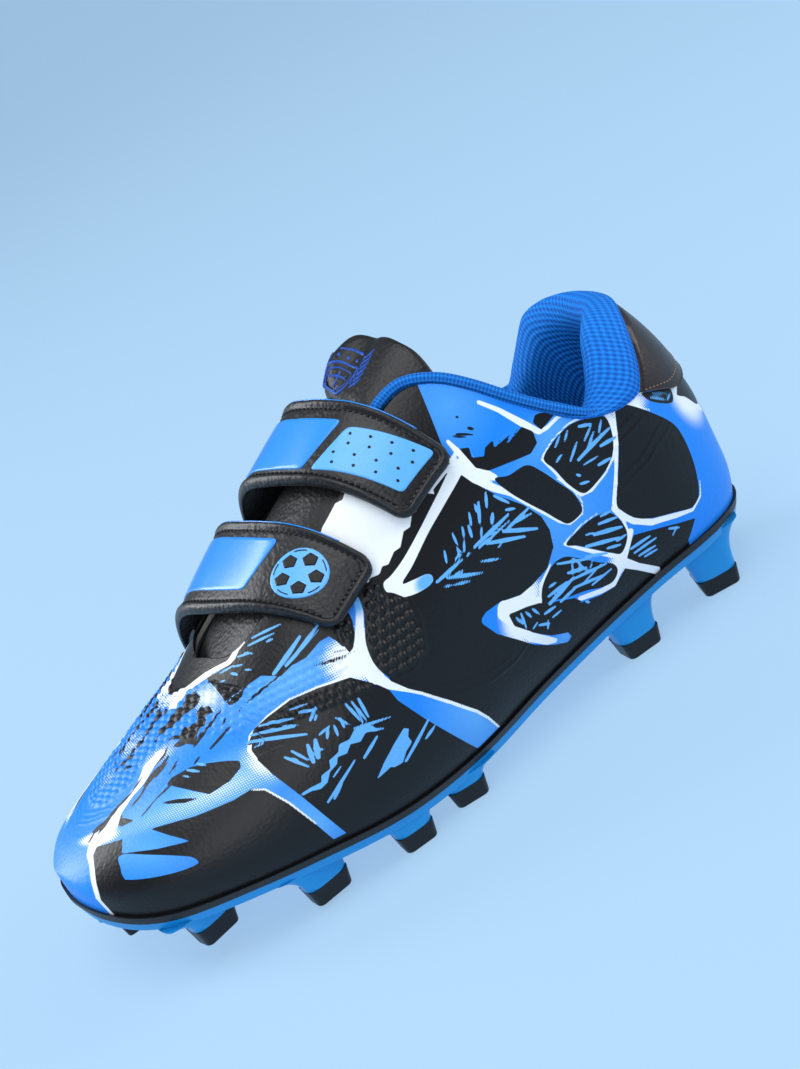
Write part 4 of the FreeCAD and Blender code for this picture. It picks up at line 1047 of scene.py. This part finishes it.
def strap_band(name):
    s = Strap(name)
    spacing = ((110, 40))
    profile = strap_profile(s.width)
    verts, flat, faces = inset_pad(s, -OVER, s.length + 2.0, -OVER / 3, s.width + OVER / 3,
                                   (4.6, 0.8, 0.8, 4.6), profile, spacing)
    put(name + "_strap_leather", verts, faces, name + "_strap", STRAP_LEATHER,
        (name + "_strap_band", name + "_strap_binding"), uv=flat, merge=0.03)
    places = []
    step = STITCH_STEP
    for q in (2.05, s.width - 2.05):
        for k in range(int((s.length - 4) / step)):
            p = 3.2 + k * step
            places.append((s.at(p, q, STITCH_HEIGHT), s.at(p + step * 0.66, q, STITCH_HEIGHT)))
    for k in range(int((s.width - 6.5) / step)):
        q = 3.6 + k * step
        places.append((s.at(0.9, q, STITCH_HEIGHT), s.at(0.9, q + step * 0.66, STITCH_HEIGHT)))
    capsules(name + "_strap_stitches", places, name + "_strap", THREAD, 0.24)
    # a thin blue line printed along the rear edge of the strap's rim
    path = s.at(np.linspace(9, s.length - 1, 60), s.width + 0.35, 4.2)
    v, f, _ = tube(path, 0.2, 8)
    put(name + "_strap_edge_line", v, f, name + "_strap", GLOSS_BLUE)
    return s


def film(name, strap, outline, body, mat, replaces=(), top=4.28, base=3.75, rounding=1.4):
    """A thin raised patch on a strap; the outline is in the strap's own map."""
    outline = np.asarray(outline, float)
    pts = []
    n = len(outline)
    for i in range(n):
        a, b, c = outline[i - 1], outline[i], outline[(i + 1) % n]
        ua, uc = (a - b) / np.linalg.norm(a - b), (c - b) / np.linalg.norm(c - b)
        p, q = b + ua * rounding, b + uc * rounding
        for t in np.linspace(0, 1, 6):
            pts.append((1 - t) ** 2 * p + 2 * t * (1 - t) * b + t * t * q)
        nxt = outline[(i + 1) % n]
        far = nxt + (b - nxt) / np.linalg.norm(b - nxt) * rounding
        m = max(2, int(np.linalg.norm(far - q) / 0.8))
        for t in np.linspace(0, 1, m + 1)[1:-1]:
            pts.append(q + t * (far - q))
    ring = np.array(pts)
    centre = ring.mean(0)
    size = np.mean(np.linalg.norm(ring - centre, axis=1))
    levels = [(0.0, base), (0.0, top - 0.16), (0.12, top - 0.05), (0.35, top)]
    levels += [(size * t, top + 0.05 * t) for t in np.linspace(0.12, 1, 9)]
    verts, flat = [], []
    for inset, h in levels:
        k = max(0.0, 1 - inset / size)
        r = centre + (ring - centre) * k
        flat.append(r)
        verts.append(strap.at(r[:, 0], r[:, 1], h))
    faces = grid_faces(len(levels), len(ring), wrap=True, flip=signed_area(ring) > 0)
    return put(name, np.vstack(verts), faces, body, mat, replaces, uv=np.vstack(flat), merge=0.01)


def signed_area(ring):
    x, y = ring[:, 0], ring[:, 1]
    return 0.5 * float(np.sum(x * np.roll(y, -1) - y * np.roll(x, -1)))


def circle(cp, cq, r, n=40, start=0.0):
    a = np.linspace(0, 2 * math.pi, n, endpoint=False) + start
    return np.stack([cp + r * np.cos(a), cq + r * np.sin(a)], -1)


def discs(name, strap, centres, radius, height, body, mat, sides=12):
    verts, faces = [], []
    for c in centres:
        base = len(verts)
        for r, h in ((radius, height - 0.35), (radius, height), (radius * 0.6, height + 0.02)):
            ring = circle(c[0], c[1], r, sides)
            verts += list(strap.at(ring[:, 0], ring[:, 1], h))
        verts.append(strap.at(c[0], c[1], height + 0.02))
        for k in range(2):
            for i in range(sides):
                j = (i + 1) % sides
                low, high = base + k * sides, base + (k + 1) * sides
                faces.append((low + i, high + i, high + j, low + j))
        for i in range(sides):
            faces.append((base + 2 * sides + i, base + 3 * sides, base + 2 * sides + (i + 1) % sides))
    return put(name, np.array(verts), faces, body, mat)


def long_film(name, strap, far_front, far_rear):
    """The plain film, from its two corners on the crown back to the strap's root."""
    end = strap.length - 1.0
    outline = [far_front, (end, far_front[1]), (end, far_rear[1]), far_rear]
    film(name + "_strap_film", strap, outline, name + "_strap", FILM_DEEP, (name + "_strap_panel",))


def strap_pieces():
    s = strap_band("upper")
    w, n = s.width, s.length
    near_front, far_front = s.find(16.5, 0.307), s.find(2.5, 0.430)
    far_rear, near_rear = s.find(15.9, 0.407), s.find(29.4, 0.303)
    dotted = [near_front, far_front, far_rear, near_rear]
    film("upper_strap_dotted_film", s, dotted, "upper_strap", FILM_LIGHT, ("upper_strap_mesh",),
         rounding=1.6)
    dots = []
    corner = [np.array(c) for c in dotted]
    for r in range(4):
        for c in range(4):
            a, b = 0.14 + 0.235 * c + (0.045 if r % 2 else -0.03), 0.17 + 0.222 * r
            near, far = corner[0] + (corner[3] - corner[0]) * b, corner[1] + (corner[2] - corner[1]) * b
            dots.append(near + (far - near) * a)
    discs("upper_strap_punched_dots", s, dots, 0.5, 4.33, "upper_strap", LEATHER_EDGE, 5)
    far_front, far_rear = s.find(1.2, 0.445), s.find(15.9, 0.421)
    long_film("upper", s, far_front, far_rear)
    bars = [[(n - 26 + k * 3.2, w * 0.42), (n - 24.6 + k * 3.2, w * 0.42), (n - 23.6 + k * 3.2, w * 0.68),
             (n - 25.0 + k * 3.2, w * 0.68)] for k in range(4)]
    for k, bar in enumerate(bars):
        film("upper_strap_bar_%d" % (k + 1), s, bar, "upper_strap", LEATHER_EDGE, (), 4.36, 4.2, 0.25)

    s = strap_band("lower")
    long_film("lower", s, s.find(-27.8, 0.433), s.find(-14.0, 0.420))
    (cp, cq), r = s.find(-15.5, 0.367), 7.9
    film("lower_strap_emblem_disc", s, circle(cp, cq, r, 28), "lower_strap", FILM_LIGHT,
         ("lower_strap_emblem",), 4.25, 3.75, 0.2)
    for k in range(5):
        a = math.radians(90 + 72 * k + 12)
        patch = circle(cp + 4.7 * math.cos(a), cq + 4.7 * math.sin(a), 2.35, 5, a + math.pi)
        film("lower_strap_ball_patch_%d" % (k + 1), s, patch, "lower_strap", LEATHER_EDGE, (), 4.36, 4.1,
             0.25)
        a0 = math.radians(90 + 72 * k + 12 + 22)
        arc = [(cp + 7.0 * math.cos(a0 + t), cq + 7.0 * math.sin(a0 + t)) for t in np.linspace(0, 0.5, 7)]
        v, f, _ = tube(s.at(np.array(arc)[:, 0], np.array(arc)[:, 1], 4.28), 0.16, 6)
        put("lower_strap_ball_arc_%d" % (k + 1), v, f, "lower_strap", LEATHER_EDGE)


STRAP_LEATHER = plain("strap_leather", (0.011, 0.011, 0.012), 0.40, 0.55, 0.9, 0.08)
FILM_DEEP = plain("strap_film_deep", (0.020, 0.26, 0.80), 0.30, 0.06, 1.0, 0.5)
FILM_LIGHT = plain("strap_film_light", (0.115, 0.42, 0.88), 0.38, 0.16, 1.1, 0.2)
strap_pieces()


# ------------------------------------------------------------- collar and piping
def topline_path(lateral, y0, y1, count, lift, d):
    """Points just above the topline of one side."""
    out = []
    for y in np.linspace(y0, y1, count):
        slope = (topline(y + 1, lateral) - topline(y - 1, lateral)) / 2.0
        clear = lift / math.hypot(1.0, slope)
        out.append(point_at_height(y - slope * clear, topline(y, lateral) + clear, d, lateral))
    return np.array(out)


def piping():
    for name, lateral in (("lateral", True), ("medial", False)):
        path = topline_path(lateral, 22.6, 75, 104, 1.0, -0.9)
        radius = np.interp(np.arange(104), [0, 3, 40, 86, 103], [1.1, 1.65, 1.75, 1.8, 1.3])
        verts, faces, uv = tube(path, radius, 20)
        put(name + "_piping_cord", verts, faces, "shoe", TAPE, (name + "_piping",), uv=uv)


def wall(y, z, d, lateral):
    """Points of the upper's side at height z, square to the wall even where it rounds the heel."""
    place = y + d * np.clip((y - 62) / (HEEL - 62), 0, 1) ** 2
    grid = np.linspace(0.05, 0.5, 240)
    v = grid if lateral else 1 - grid
    p = form(place[:, None], v[None, :], d[:, None], d[:, None])
    return np.array([[np.interp(h, q[:, 2], q[:, k]) for k in range(3)] for h, q in zip(z, p)])


# Stations along the collar from the tongue to the heel. Each one lists, as (y, height, outward),
# its outer edge, its fullest point, its crest, its inner edge, the lining halfway and its foot.
COLLAR = [
    [(47, 91.5, -0.6), (47, 92.6, -0.7), (46.6, 93.8, -1.6), (46.6, 93, -3), (46.6, 88, -3.4),
     (47, 80, -3.6)],
    [(57, 81.3, -0.5), (57, 82.6, -0.5), (56.3, 84.2, -1.8), (56.3, 83, -3.8), (56.6, 76, -4.4),
     (57, 67, -4.6)],
    [(66, 73.2, -0.2), (65.6, 74.6, 0.2), (65, 76, -2), (64.6, 74.8, -5), (65, 68, -6), (65, 59, -6.2)],
    [(72, 69.6, 0.2), (70.8, 71, 0.9), (69, 72.4, -2), (68.4, 71, -6.2), (69, 64, -7), (70, 56, -7.2)],
    [(78, 67.6, 0.4), (75.6, 69.3, 1.4), (72.4, 71, -2), (71.2, 69.3, -7), (73, 61, -8), (75, 54, -7.6)],
    [(83.4, 66.8, 0.4), (80.6, 69.4, 1.7), (76.4, 72, -2), (75, 69.2, -8), (78, 60, -8.6),
     (81, 52, -7.8)],
    [(89.2, 67.4, 0.5), (86.4, 71.6, 1.8), (81, 75.6, -2), (79.8, 71.6, -8.6), (83, 61, -9),
     (87, 51, -8)],
    [(94.6, 72, 0.5), (92, 76.6, 1.8), (86.8, 80.8, -2.2), (85.6, 75.4, -9.2), (88, 62, -9.2),
     (92, 50, -8)],
    [(100, 78, 0.5), (98, 82, 1.6), (93.8, 86.4, -2.6), (92.6, 79.6, -9.6), (94, 65, -9.4), (97, 49, -8)],
    [(104.6, 82.2, 0.5), (103.4, 85.4, 1.5), (100.6, 88.8, -3), (100, 82, -9.8), (100.5, 67, -9.4),
     (102, 48, -8)],
    [(107.4, 84, 0.5), (106.8, 86.6, 1.4), (105.6, 89.4, -3.2), (105.4, 82.6, -9.9), (105.6, 68, -9.4),
     (106, 47.6, -8)],
    [(108.96, 84.6, 0.5), (108.96, 87, 1.4), (108.96, 89.5, -3.2), (108.96, 82.8, -9.9),
     (108.96, 68.2, -9.4), (108.96, 47.5, -8)]]


def collar():
    """Padded knit collar: a fat roll over the topline, running down inside the boot as the lining."""
    table = np.array(COLLAR, float)
    lines = np.stack([smooth_line(table[:, k], 154) for k in range(6)], 1)
    verts, uv = [], []
    along, last = 0.0, None
    for lateral, stations in ((True, lines), (False, lines[::-1])):
        for row in stations:
            row = row.copy()
            row[:, 0] = np.minimum(row[:, 0], HEEL - 0.04)
            if not lateral:
                row[:, 1] -= medial_drop(row[:, 0]) * np.array([1, 1, 1, 1, 0.5, 0])
            path = smooth_line(row, 110)
            points = wall(np.minimum(path[:, 0], HEEL - 0.04), path[:, 1], path[:, 2], lateral)
            verts.append(points)
            here = points[int(len(points) * 0.4)]
            if last is not None:
                along += float(np.linalg.norm(here - last))
            last = here
            run = run_length(points)
            uv.append(np.stack([np.full(len(points), along), run], -1))
    faces = grid_faces(len(verts), len(verts[0]), flip=True)
    pad = put("collar_padding", np.vstack(verts), faces, "shoe", KNIT, ("collar_foam", "collar_lining"),
              uv=np.vstack(uv), merge=0.01)


piping()
collar()


# --------------------------------------------------------------------- heel tab
TAB_LOW = smooth_line([(88.8, 67), (92, 65.2), (96, 62.6), (99, 60.8), (103, 60), (106, 60.4),
                       (108.96, 61)], 60)
TAB_HIGH = smooth_line([(88.8, 68), (91.6, 70.6), (94.6, 73.6), (100, 79.6), (104.6, 83.6),
                        (108.96, 86)], 60)


def heel_tab():
    """A leather tab folded over the back of the heel and tucked under the collar's roll."""
    a = np.linspace(0, 1, 80)
    ys = 88.8 + (HEEL - 0.04 - 88.8) * np.sin(a * math.pi / 2)
    verts, uv = [], []
    cols = 30
    for lateral, seq in ((True, ys), (False, ys[::-1])):
        for y in seq:
            low = float(np.interp(y, TAB_LOW[:, 0], TAB_LOW[:, 1]))
            high = float(np.interp(y, TAB_HIGH[:, 0], TAB_HIGH[:, 1]))
            part = np.linspace(0, 1, cols)
            z = np.concatenate([[low + 0.3, low, low + 0.1], low + 0.3 + (high - low - 0.3) * part])
            body = 1.0 + 0.2 * np.sin(part * math.pi)
            tuck = 0.8 * smooth_step(high - 2.4, high - 0.4, z[3:])
            d = np.concatenate([[0.05, 0.7, 1.15], body - tuck])
            front = math.sqrt(min(max((y - 88.8) / 1.2, 0.0), 1.0))
            d = 0.05 + (d - 0.05) * front
            verts.append(wall(np.full(len(z), y), z, d, lateral))
            uv.append(np.stack([np.full(len(z), y), z], -1))
    faces = grid_faces(len(verts), len(verts[0]), flip=False)
    put("heel_tab_leather", np.vstack(verts), faces, "shoe", HEEL_TAB, ("heel_tab",), uv=np.vstack(uv),
        merge=0.01)
    places = []
    ring = resample(np.array([v[7] for v in verts[4:-4]]), 100)
    for k in range(0, 98, 2):
        places.append((ring[k], ring[k + 1]))
    capsules("heel_tab_stitches", places, "shoe", TAN_THREAD, 0.18)


TAN_THREAD = plain("tan_thread", (0.30, 0.17, 0.09), 0.6)
heel_tab()


# ------------------------------------------------------------------------ tongue
TONGUE_TOP = [(9.8, 21.6), (12, 25), (13, 30), (14.6, 35), (16.6, 39.5), (16.2, 42.6), (12, 43),
              (6, 41.4), (0, 40.4), (-6, 39.4), (-11.4, 37), (-15.6, 33.6), (-17.2, 30), (-17, 26.5),
              (-15.6, 23.8), (-12.8, 21.6)]


def wing_lift(x, y):
    """How far the tongue's medial side stands up off the crown's curve."""
    return 13.0 * smooth_step(3, 16, -x) * smooth_step(11, 30, y)


def crown(x, y, d):
    """Points of the crown above plan places, one by one."""
    return np.array([point_at_x(a, b, c) for a, b, c in zip(np.ravel(x), np.ravel(y), np.ravel(d))])


def tongue_pad(name, outline, top_d, thick, body, nodes, puff, rings=16):
    """A leather tongue: a flat pad with a fat rolled edge, shaped over the crown."""
    ring = smooth_line(outline, 130, closed=True)
    centre = ring.mean(0)
    size = float(np.mean(np.linalg.norm(ring - centre, axis=1)))
    prof = []
    for t in np.linspace(0, 1, 9):
        a = math.pi * (t - 0.5)
        prof.append((0.9 * (1 - math.cos(a)), top_d - thick / 2 + thick / 2 * math.sin(a)))
    inner = np.linspace(1.6, size, rings)
    under = [(i, top_d - thick) for i in inner[::-1]]
    over = [(i, top_d + puff * (1 - math.exp(-(i - 0.9) / 1.6))) for i in inner]
    verts, flat = [], []
    for inset, d in under + prof + over:
        k = max(0.0, 1 - inset / size)
        r = centre + (ring - centre) * k
        p = crown(r[:, 0], r[:, 1], np.full(len(r), d))
        p[:, 2] += wing_lift(r[:, 0], r[:, 1])
        verts.append(p)
        flat.append(r)
    count = len(ring)
    faces = grid_faces(len(verts), count, wrap=True, flip=signed_area(ring) < 0)
    pad = put(name, np.vstack(verts), faces, body, LEATHER, nodes, uv=np.vstack(flat), merge=0.01)
    return pad


tongue_pad("tongue_top_pad", TONGUE_TOP, -3.6, 5.0, "tongue_top",
           ("tongue_upper_skin", "tongue_upper_foam", "tongue_upper_lining"), 0.7)
tongue_pad("tongue_lower_pad", [(21, 20.6), (25, 4), (25.5, -8), (23, -28), (15, -43), (-2, -50),
                                (-18, -43), (-27, -28), (-29, -8), (-28.5, 4), (-22.5, 13),
                                (-16.8, 20.6)], -3.9,
                                4.6, "shoe",
           ("tongue_lower_skin", "tongue_lower_foam", "tongue_lower_lining"), 0.3)


def tongue_ribbon(plan, width, d):
    """A flat raised ribbon along a plan line on the tongue."""
    plan = np.asarray(plan, float)
    tan = unit(np.gradient(plan, axis=0))
    nor = np.stack([-tan[:, 1], tan[:, 0]], -1)
    w = np.broadcast_to(width, (len(plan),))[:, None]
    verts = []
    for off, h in ((-0.5, -0.25), (-0.46, 0.06), (-0.3, 0.16), (0.3, 0.16), (0.46, 0.06), (0.5, -0.25)):
        r = plan + nor * w * off
        p = crown(r[:, 0], r[:, 1], np.full(len(r), d + h))
        p[:, 2] += wing_lift(r[:, 0], r[:, 1])
        verts.append(p)
    grid = np.stack(verts, 1).reshape(-1, 3)
    faces = grid_faces(len(plan), 6)
    return grid, faces


def badge():
    """A plain shield between two leafy sprays, with three dots over it."""
    groups = []
    shield = smooth_line([(-4.4, 31.6), (-0.5, 32.6), (3.4, 31.6), (3.8, 28.6), (2.4, 26.0),
                          (-0.5, 24.2), (-3.4, 26.0), (-4.8, 28.6), (-4.4, 31.6)], 60)
    groups.append((shield, 0.55))
    groups.append((smooth_line([(-3.2, 30.4), (-0.5, 31.2), (2.2, 30.4), (2.6, 28.6), (1.6, 26.8),
                                (-0.5, 25.6), (-2.6, 26.8), (-3.6, 28.6), (-3.2, 30.4)], 50), 0.3))
    groups.append((np.array([(-2.6, 28.9), (-0.5, 29.3), (1.6, 28.9)]), 0.5))
    groups.append((np.array([(-0.5, 26.6), (-0.5, 30.4)]), 0.5))
    for side in (-1, 1):
        for k in range(6):
            t = k / 5
            cx, cy = -0.5 + side * (6.1 - 0.9 * t * t), 26.4 + 8.4 * t
            tip = (cx + side * (1.5 - 0.6 * t), cy + 1.5)
            groups.append((np.array([(cx - side * 0.5, cy - 0.7), (cx + side * 0.6, cy + 0.4), tip]),
                           (0.35, 1.0, 0.15)))
            if k < 5:
                groups.append((np.array([(cx - side * 0.4, cy - 0.2), (cx - side * 1.1, cy + 0.8),
                                         (cx - side * 1.2, cy + 1.7)]), (0.3, 0.8, 0.15)))
    for k in range(3):
        groups.append((np.array([(-2.6 + 2.1 * k - 0.35, 34.1), (-2.6 + 2.1 * k + 0.35, 34.1)]), 0.7))
    groups.append((np.array([(-3.4, 35.9), (-0.5, 36.6), (2.4, 35.9)]), 0.6))
    verts, faces = [], []
    start = 0
    for plan, width in groups:
        dx, dy = plan[:, 0] + 0.5, plan[:, 1] - 28.6
        plan = np.stack([-7.2 + 1.3 * dx, 25.2 + 0.5 * dx + dy], -1)
        keep = (plan[:, 1] > 22.3) & (plan[:, 0] > -15.4)
        if keep.sum() < 2 or (len(plan) == 3 and not keep.all()):
            continue
        width = np.broadcast_to(width, keep.shape)[keep]
        v, f = tongue_ribbon(plan[keep], width * 1.15, -2.95)
        verts.append(v)
        faces += [tuple(i + start for i in q) for q in f]
        start += len(v)
    put("tongue_crest", np.vstack(verts), faces, "tongue_top", BADGE, ("tongue_badge",))


badge()


# ------------------------------------------------------------ finishes of CAD pieces
def paint(node_name, mat):
    mesh = frame["nodes"][node_name].data
    mesh.materials.clear()
    mesh.materials.append(mat)


FINISH = {
    "outsole_plate": TPU, "sole_rand": RAND, "shank": FOAM, "lasting_board": BOARD, "insole_foam": FOAM,
    "insole_cover": SOCK, "toe_puff": FOAM, "vamp_backing": FOAM, "lateral_facing": FOAM,
    "medial_facing": FOAM,
    "lateral_backing": FOAM, "medial_backing": FOAM, "heel_counter": FOAM, "vamp_lining": LINING,
    "quarter_lining": LINING, "upper_loop_patch": HOOK, "lower_loop_patch": HOOK,
    "upper_strap_root": LEATHER,
    "lower_strap_root": LEATHER, "upper_strap_hook": HOOK, "lower_strap_hook": HOOK}
for node_name, finish in FINISH.items():
    paint(node_name, finish)
for node_name in frame["nodes"]:
    if node_name.startswith("tip_"):
        paint(node_name, TIP)
# --------------------------------------------------------------- stage and camera
CAM = dict(az=76.5, el=22.0, roll=-29.0, distance=540.0, right=-5.3, up=-26.5, lens=67.3527)


def place_camera():
    a, e = math.radians(CAM["az"]), math.radians(CAM["el"])
    back = np.array([math.sin(a) * math.cos(e), -math.cos(a) * math.cos(e), math.sin(e)])
    right = np.cross(-back, [0, 0, 1.0])
    right /= np.linalg.norm(right)
    up = np.cross(right, -back)
    c, s = math.cos(math.radians(CAM["roll"])), math.sin(math.radians(CAM["roll"]))
    right, up = c * right + s * up, -s * right + c * up
    at = np.array([0, 0, 40.0]) - CAM["right"] * right - CAM["up"] * up + CAM["distance"] * back
    data = bpy.data.cameras.new("camera")
    cam = bpy.data.objects.new("camera", data)
    bpy.context.scene.collection.objects.link(cam)
    m = Matrix([[float(right[k]), float(up[k]), float(back[k]), 0] for k in range(3)] + [[0, 0, 0, 1]])
    m.translation = Vector([float(x) for x in world(at)])
    cam.matrix_world = m
    data.lens = CAM["lens"]
    data.sensor_width = 36.0
    data.clip_start = 0.01
    data.clip_end = 200.0
    bpy.context.scene.camera = cam


place_camera()


def area_light(name, at, look, size, power, colour=(1, 1, 1)):
    data = bpy.data.lights.new(name, "AREA")
    data.shape = "RECTANGLE"
    data.size, data.size_y = size
    data.energy = power
    data.color = colour
    o = bpy.data.objects.new(name, data)
    bpy.context.scene.collection.objects.link(o)
    o.location = at
    o.rotation_euler = (Vector(look) - Vector(at)).to_track_quat("-Z", "Y").to_euler()


area_light("top", (0.25, -0.15, 1.1), (0, 0, 0.05), (0.9, 0.9), 9)
area_light("front_rim", (-0.75, -0.75, 0.55), (0, -0.03, 0.05), (0.35, 0.9), 9, (0.96, 0.98, 1))
area_light("heel_rim", (0.25, 0.95, 0.45), (0, 0.05, 0.05), (0.5, 0.6), 5)
area_light("fill", (1.0, -0.5, 0.5), (0, 0, 0.05), (0.8, 0.8), 5)
sky = bpy.data.worlds.new("sky")
bpy.context.scene.world = sky
sky.use_nodes = True
sky.node_tree.nodes["Background"].inputs[0].default_value = (0.62, 0.80, 1.0, 1)
sky.node_tree.nodes["Background"].inputs[1].default_value = 0.30
bpy.context.scene.view_settings.view_transform = "Standard"

floor_mat = plain("floor", (0.13, 0.19, 0.24), 0.9, specular=0.0)
floor_shader = floor_mat.node_tree.nodes["Principled BSDF"]
floor_shader.inputs["Emission Color"].default_value = (0.36, 0.56, 0.78, 1)
floor_shader.inputs["Emission Strength"].default_value = 0.85
bpy.ops.mesh.primitive_plane_add(size=60, location=(0, 0, 0))
floor = bpy.context.object
floor.name = "floor"
floor.data.materials.append(floor_mat)
